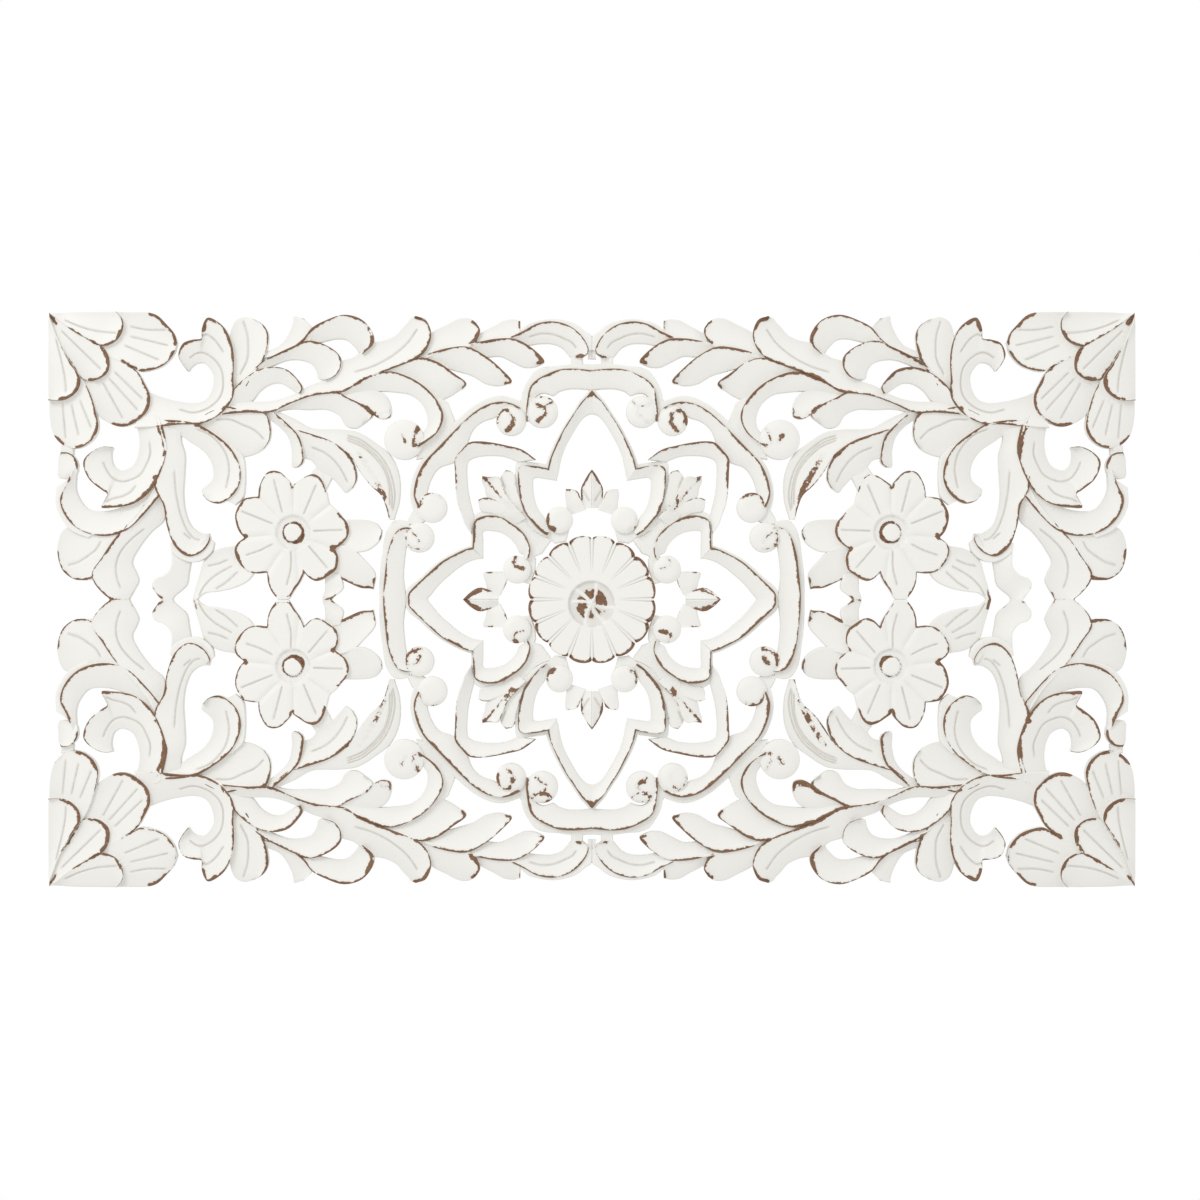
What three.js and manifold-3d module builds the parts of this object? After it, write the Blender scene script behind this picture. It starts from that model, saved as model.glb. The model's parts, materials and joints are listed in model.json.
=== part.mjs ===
// Carved wall panel: one pierced board with a mirrored pattern of leaves, scrolls, a star and a rosette.
// The back lies flat on the wall at y = 0 and the carved face looks along -Y.
import * as THREE from 'three';
import { mergeVertices } from 'three/addons/utils/BufferGeometryUtils.js';
import Module from 'manifold-3d';

// Sizes of the board in millimetres
const LENGTH = 1200;
const HEIGHT = 635;
const CREST_FULL = 18;
const CREST_HIGH = 17;
const CREST_MIDDLE = 15.5;
const CREST_LOW = 14;
const FOOT_THICK = 12.5;
const FOOT_THIN = 11;
const LEDGE = 9;
const WEB = 8;
const BALL_TOP = 17;
const BALL_RIM = 12;
const BALL_SHOULDER = 15.8;
const PETAL_TOP = 16.5;
const PETAL_CREASE = 13;
const HEART_TOP = 15.5;
const HEART_CREASE = 14.5;
const HEART_FLOOR = 12.5;
const BUTTON_TOP = 17;
const BUTTON_RIM = 16;
const KNOB_TOP = 17;
const KNOB_SHOULDER = 15.5;

// Rosette in the middle of the board and hearts of the flowers, in millimetres
const ROSETTE_RADIUS = 71;
const NOTCH_DEPTH = 4.4;
const ROSETTE_HEART = 28;
const KNOB_RADIUS = 17;
const KNOB_DROP = 4.5;
const FLOWER_HEART = 20;
const BUTTON_RADIUS = 11;

// How far a web reaches in under the rosette, and how far a body starts behind the back before it is cut flat
const WEB_LAP = 3;
const UNDERCUT = 4;

// How far an edge may leave its curve, the smallest facet kept on a quarter and on the whole board,
// and the distance under which two points are one
const CHORD = 1.3;
const FACET = 5;
const FINE_FACET = 0.3;
const SAME_POINT = 1e-4;

// Numbers of steps along a span, petals, corners of a petal and sides of a round
const SPAN_STEPS = 8;
const ROSETTE_PETALS = 16;
const PETAL_CORNERS = 4;
const ROUND_SIDES = 8;

// Where the shoulder of a ball, of the knob and of a button lies, as a share of the way out to the rim
const BALL_SHOULDER_OUT = 0.6;
const BUTTON_SHOULDER_OUT = 0.85;

// The pattern is laid out on a grid over the board: 1088 columns along its length, 576 rows along its height.
// Places are given as grid cells from the middle of the board.
const GRID_COLUMNS = 1088;
const GRID_ROWS = 576;
const CELL_X = LENGTH / GRID_COLUMNS;
const CELL_Z = HEIGHT / GRID_ROWS;

// Middle of a flower, and the balls with their radius, in cells
const FLOWER_PLACE = [299, 67];
const BALLS = [
  [50, 188, 16], [81, 179, 15], [160, 92, 15], [173, 62, 15], [32.5, 79.5, 13.5], [75, 30, 14], [188, 160, 20]
];

const wasm = await Module();
wasm.setup();

// Point on the board over a place of the grid.
function spot([a, b], height) {
  return new THREE.Vector3(a * CELL_X, -height, b * CELL_Z);
}

// A closed body from corner points and faces given as rings of corner numbers.
function closedBody(corners, faces) {
  const index = [];
  for (const face of faces) {
    for (let i = 1; i < face.length - 1; i += 1) {
      const triangle = [face[0], face[i], face[i + 1]];
      if (new Set(triangle).size === 3) index.push(...triangle);
    }
  }
  const geometry = new THREE.BufferGeometry().setFromPoints(corners);
  geometry.setIndex(index);
  return geometry;
}

// The same body for the joining and cutting, turned so that its faces look outwards.
function toManifold(geometry) {
  const bare = geometry.clone();
  bare.deleteAttribute('normal');
  bare.deleteAttribute('uv');
  const merged = mergeVertices(bare, SAME_POINT);
  const index = [];
  const source = merged.index.array;
  for (let i = 0; i < source.length; i += 3) {
    const triangle = [source[i], source[i + 1], source[i + 2]];
    if (new Set(triangle).size === 3) index.push(...triangle);
  }
  const place = merged.attributes.position;
  let volume = 0;
  const p = [new THREE.Vector3(), new THREE.Vector3(), new THREE.Vector3()];
  for (let i = 0; i < index.length; i += 3) {
    for (let k = 0; k < 3; k += 1) p[k].fromBufferAttribute(place, index[i + k]);
    volume += p[0].dot(p[1].clone().cross(p[2]));
  }
  if (volume < 0) index.reverse();
  const mesh = new wasm.Mesh({
    numProp: 3,
    vertProperties: new Float32Array(place.array),
    triVerts: new Uint32Array(index)
  });
  return new wasm.Manifold(mesh);
}

// Several bodies joined into one.
function joined(geometries) {
  return geometries.map(toManifold).reduce((whole, part) => whole.add(part));
}

// The body back as a plain geometry.
function toGeometry(solid) {
  const mesh = solid.getMesh();
  const geometry = new THREE.BufferGeometry();
  const place = [];
  for (let i = 0; i < mesh.numVert; i += 1) {
    place.push(...mesh.vertProperties.slice(i * mesh.numProp, i * mesh.numProp + 3));
  }
  geometry.setAttribute('position', new THREE.Float32BufferAttribute(place, 3));
  geometry.setIndex(Array.from(mesh.triVerts));
  return geometry;
}

// Distance of a point from the straight line between two others.
function offChord(point, from, to) {
  const line = new THREE.Line3(from, to);
  return line.closestPointToPoint(point, true, new THREE.Vector3()).distanceTo(point);
}

// Numbers of the rows that are needed to keep every edge within CHORD of its curve.
function neededRows(rows, first, last) {
  let worst = CHORD;
  let at = -1;
  for (let i = first + 1; i < last; i += 1) {
    for (let c = 0; c < rows[i].length; c += 1) {
      const off = offChord(rows[i][c], rows[first][c], rows[last][c]);
      if (off > worst) {
        worst = off;
        at = i;
      }
    }
  }
  if (at < 0) return [last];
  return [...neededRows(rows, first, at), ...neededRows(rows, at, last)];
}

// Rows across a strip: each row holds one point of every edge curve, on the plane of the back.
function rowsAcross(rungs) {
  const edges = [];
  for (let c = 0; c < rungs[0].length; c += 2) {
    const points = rungs.map((rung) => spot([rung[c], rung[c + 1]], 0));
    edges.push(new THREE.CatmullRomCurve3(points, false, 'centripetal'));
  }
  const count = SPAN_STEPS * (rungs.length - 1);
  const rows = [];
  for (let i = 0; i <= count; i += 1) rows.push(edges.map((edge) => edge.getPoint(i / count)));
  return [0, ...neededRows(rows, 0, count)].map((i) => rows[i]);
}

// A point of a row raised off the back by a height, or sunk behind it.
function raised(point, height) {
  return new THREE.Vector3(point.x, -height, point.z);
}

// A strip of carving between edge curves: heights gives the thickness at each edge.
// Where the edges meet in a tip, the row is one point above another.
function strip(rungs, heights) {
  const rows = rowsAcross(rungs);
  const wide = heights.length;
  const corners = [];
  const tops = [];
  const feet = [];
  for (const row of rows) {
    const near = row[0];
    const far = row[wide - 1];
    const first = corners.length;
    if (near.distanceTo(far) < SAME_POINT) {
      corners.push(raised(near, (heights[0] + heights[wide - 1]) / 2), raised(near, -UNDERCUT));
      tops.push(row.map(() => first));
      feet.push([first + 1, first + 1]);
    } else {
      row.forEach((point, c) => corners.push(raised(point, heights[c])));
      corners.push(raised(near, -UNDERCUT), raised(far, -UNDERCUT));
      tops.push(row.map((point, c) => first + c));
      feet.push([first + wide, first + wide + 1]);
    }
  }
  const faces = [];
  for (let i = 0; i < rows.length - 1; i += 1) {
    for (let c = 0; c < wide - 1; c += 1) {
      faces.push([tops[i][c], tops[i][c + 1], tops[i + 1][c + 1], tops[i + 1][c]]);
    }
    faces.push([tops[i][wide - 1], feet[i][1], feet[i + 1][1], tops[i + 1][wide - 1]]);
    faces.push([feet[i][1], feet[i][0], feet[i + 1][0], feet[i + 1][1]]);
    faces.push([feet[i][0], tops[i][0], tops[i + 1][0], feet[i + 1][0]]);
  }
  const end = rows.length - 1;
  faces.push([feet[0][0], feet[0][1], ...tops[0].slice().reverse()]);
  faces.push([feet[end][1], feet[end][0], ...tops[end]]);
  return closedBody(corners, faces);
}

const carving = [];

// A leaf or scroll: its crest is the high sharp edge, its foot the low soft one.
function leaf(crest, foot, rungs) {
  carving.push(strip(rungs, [crest, foot]));
}

// A band with a low ledge outside its crest.
function band(crest, foot, rungs) {
  carving.push(strip(rungs, [LEDGE, crest, foot]));
}

// A low ledge outside a large crest.
function ledge(rungs) {
  carving.push(strip(rungs, [LEDGE, LEDGE]));
}

// A low flat web that ties neighbouring parts of the pattern together.
function web(points) {
  const outline = new THREE.Shape(points.map(([a, b]) => new THREE.Vector2(a * CELL_X, b * CELL_Z)));
  const slab = new THREE.ExtrudeGeometry(outline, { depth: WEB + UNDERCUT, bevelEnabled: false });
  slab.rotateX(Math.PI / 2);
  slab.translate(0, UNDERCUT, 0);
  carving.push(slab);
}

// A round body over a place of the grid: a flat top, a shoulder part of the way out, and a rim.
function dome([a, b], radius, heights, shoulder, sides) {
  const profile = [
    [0, heights[0]], [radius * shoulder, heights[1]], [radius, heights[2]],
    [radius, -UNDERCUT], [0, -UNDERCUT]
  ];
  const points = profile.map(([reach, height]) => new THREE.Vector2(reach, -height));
  const body = new THREE.LatheGeometry(points, sides);
  body.translate(a * CELL_X, 0, b * CELL_Z);
  return body;
}

// The eye of a scroll.
function ball([a, b, radius]) {
  const heights = [BALL_TOP, BALL_SHOULDER, BALL_RIM];
  return dome([a, b], radius * CELL_X, heights, BALL_SHOULDER_OUT, ROUND_SIDES);
}

// A round of petals about a dished heart. Each point of the outline is higher on a petal than in a crease.
function petalRound(centre, outline, heart) {
  const corners = [spot(centre, HEART_FLOOR), spot(centre, -UNDERCUT)];
  const faces = [];
  const count = outline.length;
  outline.forEach(([a, b, crease]) => {
    const share = heart / CELL_X / Math.hypot(a - centre[0], b - centre[1]);
    const inner = [centre[0] + (a - centre[0]) * share, centre[1] + (b - centre[1]) * share];
    corners.push(spot(inner, crease ? HEART_CREASE : HEART_TOP));
    corners.push(spot([a, b], crease ? PETAL_CREASE : PETAL_TOP));
    corners.push(spot([a, b], -UNDERCUT));
  });
  for (let i = 0; i < count; i += 1) {
    const here = 2 + 3 * i;
    const next = 2 + 3 * ((i + 1) % count);
    faces.push([0, here, next]);
    faces.push([here, here + 1, next + 1, next]);
    faces.push([here + 1, here + 2, next + 2, next + 1]);
    faces.push([here + 2, 1, next + 2]);
  }
  return closedBody(corners, faces);
}

// Corner shell
leaf(CREST_MIDDLE, FOOT_THIN, [
  [512, 262, 512, 262], [484, 243, 484, 287.5], [462, 234, 458, 288], [452, 228.3, 447, 288],
  [440, 229.8, 436, 285], [428, 235, 426.5, 276], [418.5, 246, 418.5, 266.5], [415, 257, 415, 257]
]);
leaf(CREST_MIDDLE, FOOT_THIN, [
  [522, 242, 522, 242], [488, 247, 508, 208], [456, 229, 500, 195], [447.5, 216, 494, 184],
  [442, 203, 483, 176.5], [444, 190, 474, 173.4], [452, 181, 466, 173.6], [459.5, 176, 459.5, 176]
]);
leaf(CREST_MIDDLE, FOOT_THIN, [
  [522, 240, 543, 232], [503, 208, 543.5, 205], [496, 186, 543.3, 187], [494, 172, 541.5, 173],
  [498, 162, 538, 163], [505, 155.5, 531, 155.5], [512, 152, 525, 152.3], [518.5, 151, 518.5, 151]
]);
leaf(CREST_FULL, FOOT_THICK, [
  [542, 286, 542, 286], [522, 270.5, 520, 287.5], [502, 259, 500, 287.8], [488, 253.5, 490, 288],
  [476, 258.5, 484, 288], [469.5, 268, 480, 288], [469, 279, 477.5, 288], [475.5, 288, 475.5, 288]
]);
leaf(CREST_HIGH, FOOT_THICK, [
  [543, 287, 543, 284], [521, 273, 538, 261], [501, 259, 525, 243], [487, 250.5, 515, 227],
  [482.5, 239, 511, 221], [484, 228, 506, 219.3], [492, 221, 500, 218.8], [497, 219.2, 497, 219.2]
]);
leaf(CREST_FULL, FOOT_THICK, [
  [543, 284, 543, 284], [533, 258, 545, 262], [520, 235, 545, 240], [511.5, 221, 545, 225],
  [513, 211, 545, 215], [519, 204, 544.5, 208], [528, 199.3, 544, 203], [543.5, 199.3, 543.5, 199.3]
]);
// Scrolls beside the shell
leaf(CREST_FULL, FOOT_THIN, [
  [458, 172, 444, 208], [432, 173, 430, 202.5], [412, 175, 413, 198.3], [390, 176, 396, 197],
  [371, 186, 386, 201], [359, 202, 380, 212], [359, 222, 379, 224], [358.5, 243, 383.5, 232.5],
  [368, 260, 390, 237], [390, 262, 396, 236], [405, 260.5, 400, 233], [413.8, 247, 402.5, 230.5],
  [410, 236, 403, 229.5], [404, 228.3, 404, 228.3]
]);
leaf(CREST_HIGH, FOOT_THICK, [
  [360, 222, 366, 222], [357.8, 243, 373, 239], [360.5, 257, 382, 250], [366, 271, 389, 261],
  [375, 277.5, 390.3, 269.5], [384, 282, 384, 282]
]);
leaf(CREST_FULL, FOOT_THIN, [
  [432, 182, 460, 184], [427, 165, 453.5, 164], [425, 150, 454, 147], [430, 133, 458.5, 136.5],
  [439, 116, 466, 131], [455, 104, 472, 130.3], [478, 103.5, 476.5, 132.5],
  [495, 111.5, 479.5, 136.5], [504, 120, 481, 142], [508.5, 138, 481, 146], [500, 148, 480.5, 149],
  [488, 153, 479.8, 151], [479, 152.3, 479, 152.3]
]);
leaf(CREST_HIGH, FOOT_THICK, [
  [437, 120, 437, 120], [443, 110.5, 455, 112], [455, 100, 468, 109], [468, 94, 480, 106],
  [480, 92, 487, 101], [491.5, 91.5, 491.5, 91.5]
]);
// Leaves above the stem
leaf(CREST_MIDDLE, FOOT_THIN, [
  [348, 210, 364, 212], [340, 222, 362, 240], [330, 237, 363, 258], [325, 252, 361.5, 270],
  [324, 266, 357, 279], [329, 275, 348, 283], [337, 280, 337, 280]
]);
leaf(CREST_HIGH, FOOT_THIN, [
  [370, 186, 364, 186], [361, 206, 352, 192], [350, 219, 340, 199], [333, 230, 332.5, 208.5],
  [318, 232.8, 322, 215.5], [304, 229.5, 312, 216.5], [293.5, 219, 303, 211.5],
  [289.3, 212, 297, 207.5], [291.5, 206, 291.5, 206]
]);
leaf(CREST_HIGH, FOOT_THIN, [
  [303, 250, 300, 244], [289, 261, 286, 255], [280, 272, 270, 258], [266, 279.5, 256, 261],
  [248, 285, 246, 260], [230, 280, 239.5, 254.5], [219, 266, 235.5, 250], [218.5, 256, 234, 247.5],
  [229, 246, 229, 246]
]);
leaf(CREST_HIGH, FOOT_THIN, [
  [343, 227, 337, 219], [328, 239, 325, 231], [318, 244.5, 314, 236.5], [300, 253, 302, 240],
  [284, 259, 288, 239], [266, 254.5, 279.5, 234.5], [252, 243.5, 275, 226], [251, 233, 274.5, 222],
  [257, 223.5, 273, 220.5], [266.5, 219.7, 266.5, 219.7]
]);
leaf(CREST_LOW, FOOT_THIN, [
  [338, 240, 330, 247], [308, 246, 312, 255], [290, 253, 303, 268], [280, 262, 299, 279],
  [280, 272, 298.5, 283.7], [288, 281, 288, 281]
]);
// Stem and the leaves that drop from it
leaf(CREST_FULL, FOOT_THICK, [
  [378, 184, 378, 194], [345, 187, 346, 198], [322, 187, 322, 198.5], [300, 196.5, 303, 203.5],
  [278, 204, 283, 214], [262, 206, 266, 221], [247, 208, 252, 238], [230, 219, 238, 243],
  [212, 226.5, 222, 256], [195, 232.5, 206, 260], [178, 239.8, 196, 265], [167, 248, 189, 273],
  [161, 261, 184, 278], [163.5, 272, 180, 282], [176, 283.5, 176, 283.5]
]);
leaf(CREST_FULL, FOOT_THIN, [
  [432, 180, 430, 160], [412, 179, 413, 164], [396, 176, 402, 157.5], [378, 166, 389, 148.5],
  [362, 152.5, 381.5, 138], [352.5, 135, 379, 127], [351.5, 119, 380.5, 119.5],
  [358, 105.5, 386, 114], [373, 96, 390.5, 110.5], [384, 99, 390, 105], [388.5, 104.5, 388.5, 104.5]
]);
leaf(CREST_MIDDLE, FOOT_THIN, [
  [396, 181, 396, 172], [368, 193, 387, 166], [350, 190, 373, 156], [327, 186.5, 360, 143],
  [321.5, 172, 345, 143.5], [322.5, 160, 334, 147.5], [327.5, 152, 327.5, 152]
]);
leaf(CREST_FULL, FOOT_THICK, [
  [438, 184, 410, 180], [431.5, 164, 411.5, 160], [427.5, 151, 407.5, 145], [432, 135, 408, 125],
  [437.5, 113, 409, 105], [429, 95, 407, 88], [425, 73, 402, 75], [417, 53, 396, 69],
  [404, 43.3, 390, 66.3], [390, 48, 385, 66], [382, 60, 383, 66], [383, 66, 383, 66]
]);
leaf(CREST_FULL, FOOT_THICK, [
  [258, 206, 254, 200], [238, 215, 232, 207], [220, 223.5, 212, 208.5], [202, 228, 196, 207.5],
  [184, 223, 182, 205], [168, 213.5, 170.5, 196], [155.5, 200, 165, 184], [148.5, 184, 165, 174],
  [154, 168, 169, 167], [168, 156, 172, 160], [174, 152.5, 174, 152.5]
]);
leaf(CREST_HIGH, FOOT_THIN, [
  [320, 190, 322, 186], [296, 200, 303, 190.5], [278, 206, 284, 190], [256, 208, 265, 190],
  [244, 202, 253, 184], [228, 194, 246, 173.5], [219, 184.5, 236, 171.5], [227, 177, 227, 177]
]);
leaf(CREST_MIDDLE, FOOT_THICK, [
  [254, 204, 250, 210], [236, 195, 236, 210], [226, 192, 220, 210], [218, 184, 208, 206],
  [210, 180.5, 202.5, 198], [202, 182.5, 200.5, 189], [201, 185, 201, 185]
]);
leaf(CREST_HIGH, FOOT_THIN, [
  [210, 231, 204, 220], [186, 238, 182, 219], [170, 242, 170, 210], [154, 237.5, 157, 199],
  [139, 227, 143, 203], [125.5, 216, 132, 210], [129, 211, 129, 211]
]);
leaf(CREST_HIGH, FOOT_THIN, [
  [174, 242, 172, 236], [158, 248, 152, 233], [142, 252, 133, 228], [125, 253, 120, 224],
  [106, 243.5, 106, 216], [91, 231, 93, 214], [80, 218.5, 84, 216], [82, 216, 82, 216]
]);
leaf(CREST_HIGH, FOOT_THIN, [
  [128, 255, 126, 249], [108, 259, 106, 243], [93, 261.3, 92, 243.5], [76, 260.5, 79, 237.5],
  [61, 252.5, 68, 232.5], [47.5, 239, 57, 233], [48, 237, 52, 235]
]);
leaf(CREST_MIDDLE, FOOT_THIN, [
  [174, 238, 166, 262], [158, 244, 159, 268.5], [140, 248, 146, 275], [124.5, 251, 134, 281],
  [115, 260, 126, 282], [112, 270, 121, 280.8], [116, 277, 116, 277]
]);
leaf(CREST_MIDDLE, FOOT_THIN, [
  [118, 252, 112, 267], [100, 256.5, 98, 274], [82, 259, 88, 279.5], [73, 264, 79, 280.7],
  [71.8, 272, 75, 280], [71.8, 278.5, 71.8, 278.5]
]);
leaf(CREST_HIGH, FOOT_THIN, [
  [88, 260, 80, 254], [69, 268.5, 64, 254.5], [55, 276, 54, 256], [39, 278.3, 40, 256],
  [22, 273.5, 30, 252], [8.5, 261.5, 24.5, 246], [3.5, 248, 22, 243], [10, 241.5, 17, 242]
]);
// Leaves at the short edge
leaf(CREST_HIGH, FOOT_THIN, [
  [520, 130, 516, 128], [526, 114, 516.5, 110], [532, 101, 512, 99], [527, 84, 504, 90.5],
  [512, 69.5, 490, 88.5], [488, 63.5, 472, 92], [466, 69, 460, 98], [449, 84, 449, 106],
  [432, 104, 437, 123]
]);
leaf(CREST_MIDDLE, FOOT_THIN, [
  [515, 128, 519, 121], [514.5, 136, 534, 122], [518, 143, 534.5, 134], [524, 147, 534, 143],
  [531, 147.5, 531, 147.5]
]);
leaf(CREST_MIDDLE, FOOT_THIN, [
  [470, 70, 500, 74], [477, 53, 528, 71], [487, 39, 534.5, 58], [496, 25, 535, 44],
  [500, 20, 530, 29], [508, 19.3, 521, 21.5], [515, 19.5, 515, 19.5]
]);
leaf(CREST_HIGH, FOOT_THIN, [
  [437, 114, 427, 96], [449, 94, 429, 79], [465, 75, 441, 68], [479, 59, 454, 51],
  [491, 41, 460.5, 37], [500, 27, 456, 26], [498, 17, 454, 19], [488, 5, 458, 10],
  [483, 1, 463, 1], [482, -2, 464, -2]
]);
leaf(CREST_MIDDLE, FOOT_THIN, [
  [421, 48, 400, 46], [421, 33, 403.5, 26], [428, 24.5, 405.5, 15], [437, 21, 411, 9],
  [440, 14, 416, 5], [435, 5, 419, 2], [430, -2, 420, -2]
]);
// Leaves around the flower
leaf(CREST_MIDDLE, FOOT_THICK, [
  [334, 34, 350, 56], [343, 20, 357, 54], [356, 12.5, 375, 50], [374, 8, 388, 40],
  [388, 6, 392.5, 26], [395, 0, 399.5, 0], [396, -2, 399, -2]
]);
leaf(CREST_MIDDLE, FOOT_THIN, [
  [252, 48, 252, 80], [228, 48, 232, 80], [217, 54, 222, 79], [211, 62, 215, 76], [210, 69, 210, 69]
]);
leaf(CREST_MIDDLE, FOOT_THIN, [
  [256, 56, 262, 26], [240, 51, 243, 16.5], [227, 39, 231, 11.5], [217, 26, 222, 11],
  [218.7, 10.3, 218.7, 10.3]
]);
leaf(CREST_LOW, FOOT_THIN, [
  [252, 25, 268, 28], [249, 11, 267.5, 9], [258, 3, 269.5, 3], [262, -2, 270, -2]
]);
leaf(CREST_HIGH, FOOT_THIN, [
  [324, 192, 326, 182], [305, 176.5, 312, 172], [293, 163, 304, 162], [289, 148, 300.5, 148],
  [289, 137, 300, 132.5], [294, 132.5, 294, 132.5]
]);
leaf(CREST_HIGH, FOOT_THIN, [
  [302, 172, 292, 142], [280, 165.5, 281, 139], [262, 159, 272, 127.5], [248, 149.5, 260, 121],
  [238, 135.5, 251, 111.5], [235, 121, 247, 107], [239, 112, 239, 112]
]);
leaf(CREST_MIDDLE, FOOT_THICK, [
  [320, 184, 322, 192], [298, 168, 296, 180], [275, 161, 280, 171.5], [256, 152, 252, 170.3],
  [243, 144, 234, 167.5], [231, 126, 216, 156.5], [221.5, 114, 202, 145], [211, 104, 193, 125],
  [206, 92, 192.5, 100], [203, 80, 198, 80]
]);
// Small palmettes inside the star
leaf(CREST_LOW, FOOT_THICK, [
  [68, 88, 80, 86], [76, 115, 90, 110], [77, 124, 92, 119], [80, 128, 91, 124],
  [86, 129.5, 86, 129.5]
]);
leaf(CREST_LOW, FOOT_THICK, [
  [78, 84, 88, 80], [90, 97, 100, 86], [100, 101, 110, 88], [108, 102, 112.5, 91],
  [113.5, 100, 113.5, 97]
]);
leaf(CREST_HIGH, FOOT_THICK, [
  [66, 82, 80, 72], [84, 102, 96, 92], [90, 116, 106, 104], [94, 123, 107.5, 112],
  [103, 122.5, 110, 118], [109.5, 123.5, 109.5, 123.5]
]);
leaf(CREST_HIGH, FOOT_THICK, [
  [-1, 92, 10, 92], [-1, 110, 11, 111], [-1, 118, 8, 118], [-1, 125, 4, 125], [-1, 130, 0.5, 129.5]
]);
leaf(CREST_LOW, FOOT_THICK, [
  [6, 90, 25, 84], [12, 103, 26, 97], [14, 108, 27, 105], [20, 110.5, 26, 110.5]
]);
leaf(CREST_HIGH, FOOT_THICK, [
  [94, -1, 94, 6], [104, -1, 104, 10], [113, -1, 113, 12], [122, -1, 122, 7], [129, -1, 128.5, 0.5]
]);
leaf(CREST_LOW, FOOT_THICK, [
  [92, 4, 104, 6], [85, 19, 107, 19], [86, 27, 109, 26], [95, 28, 107, 28]
]);
// Scroll frame
band(CREST_HIGH, FOOT_THICK, [
  [-3, 235.5, -3, 229, -3, 209.5], [20, 236, 18, 231, 15, 211], [35, 234, 33, 230, 25, 210.5],
  [47, 233, 46, 225, 33, 208], [57, 229, 55, 220, 39, 204], [64, 220, 61, 214, 44, 206],
  [69, 210, 63.5, 207, 52, 206], [71, 198, 65, 198, 60, 198], [69, 188, 66, 188, 62, 188],
  [67, 178, 65, 178, 62, 180]
]);
band(CREST_HIGH, FOOT_THICK, [
  [70, 198, 72, 192, 76, 188], [78, 201, 80, 196, 82, 190], [88, 204, 90, 198, 92, 186],
  [98, 203.5, 98, 197, 99, 181.5], [108, 200, 106, 194.5, 106, 179.5],
  [120, 193, 117, 188, 114, 175], [133, 182, 129, 177.5, 120, 168],
  [150, 166, 142, 164.5, 126, 153], [165, 147, 156, 150, 137, 138],
  [175, 133, 168, 137, 153, 131.5], [180, 120, 175, 123, 161, 120],
  [182, 108, 178, 110, 164.5, 109], [181, 97, 178, 103, 165, 103], [178, 87, 174, 92, 168, 95]
]);
band(CREST_HIGH, FOOT_THICK, [
  [184, 78, 182, 72, 178, 70], [192, 80, 188, 72, 182, 66], [199, 78, 194, 69.5, 184, 60],
  [205, 70, 198.5, 63.5, 185.5, 54], [208, 60, 202, 55, 186.5, 48], [210, 45, 205, 43, 187.7, 38],
  [212, 30, 207, 26, 188.7, 24], [213, 10, 208.5, 10, 187.5, 12], [213, -3, 209, -3, 185.5, -3]
]);
// Star inside the frame
band(CREST_FULL, FOOT_THICK, [
  [-2, 210, -2, 206.5, -2, 185.7], [0, 212, 0, 209, 0, 186], [6, 206, 5, 203, 6, 184],
  [11.5, 200, 10, 198, 12, 178], [20, 187, 18, 186, 20, 165], [28, 175, 26, 174, 27, 152],
  [35, 162, 33, 161, 31, 140], [40.5, 151, 38, 150, 34, 125], [44, 142, 42, 140, 35, 122],
  [46.5, 134, 44, 131, 35, 119]
]);
band(CREST_FULL, FOOT_THICK, [
  [47, 136, 44, 131, 35, 119], [60, 137.5, 57, 133.5, 47, 121], [75, 138.5, 72, 132.5, 58, 121.5],
  [77, 125, 74, 120, 59, 113], [77, 115, 73, 110, 58, 104], [74, 98, 71, 98, 56, 96],
  [69, 82, 67, 87, 52, 88], [62, 73, 61, 79, 47.5, 82], [52, 65, 52, 69, 44, 72],
  [45, 62, 45, 64, 42, 68]
]);
leaf(CREST_MIDDLE, FOOT_THIN, [
  [56, 140, 75, 138], [70, 150, 77, 139], [85, 154, 88, 143],
  [100, 157, 103, 144], [113, 158.3, 113, 143],
  [123, 157, 120, 141], [131, 149, 124, 138], [137, 141, 125, 133],
  [137, 128, 125, 123], [136, 108, 124, 110], [134, 95, 121.5, 97],
  [130, 84, 119, 87], [127, 75, 118, 83], [121, 66, 119, 76]
]);
band(CREST_FULL, FOOT_THICK, [
  [187.5, -3, 184, -3, 163, -3], [187.5, 0, 184, 0, 165, 0], [187, 6, 183.5, 6, 161, 5],
  [184, 12, 178, 12.5, 156, 11.5], [172, 22, 170, 20, 150, 18], [162, 31.5, 160, 29.5, 143, 24],
  [152, 39.5, 150, 38, 136, 30], [139, 47, 137, 45.2, 126, 36.5], [128, 52, 127, 50, 117, 40],
  [121, 54, 120, 52, 109, 41]
]);
band(CREST_FULL, FOOT_THICK, [
  [121, 52, 119.5, 52, 109, 41], [121, 60, 119, 60, 109, 50], [121, 70, 118.5, 70, 109, 59],
  [120, 82, 117, 79, 109, 68], [109, 89.5, 110, 83, 101, 68.7], [98, 90, 100, 84, 92, 67],
  [88, 88, 90, 82, 86, 64], [78, 84, 80, 76, 80, 59], [70, 78, 71, 69, 75.5, 53],
  [66, 72, 64.5, 60, 73, 47], [60, 58, 61.5, 50, 68, 44], [61, 47, 63, 42, 67, 40]
]);
// Ledges outside the larger crests
ledge([
  [536, 112, 524, 120], [536.5, 95, 526, 100], [531.5, 82, 520, 86], [521, 69, 508, 74],
  [505, 62, 490, 70]
]);
ledge([
  [73, 268, 66, 264], [64, 276, 60, 268], [50, 280, 50, 272], [38, 281, 38, 273],
  [25, 279, 27, 269], [15, 275, 19, 265], [6, 268, 12, 260], [-1, 263, 8, 252], [-1, 250, 9, 247]
]);
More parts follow.
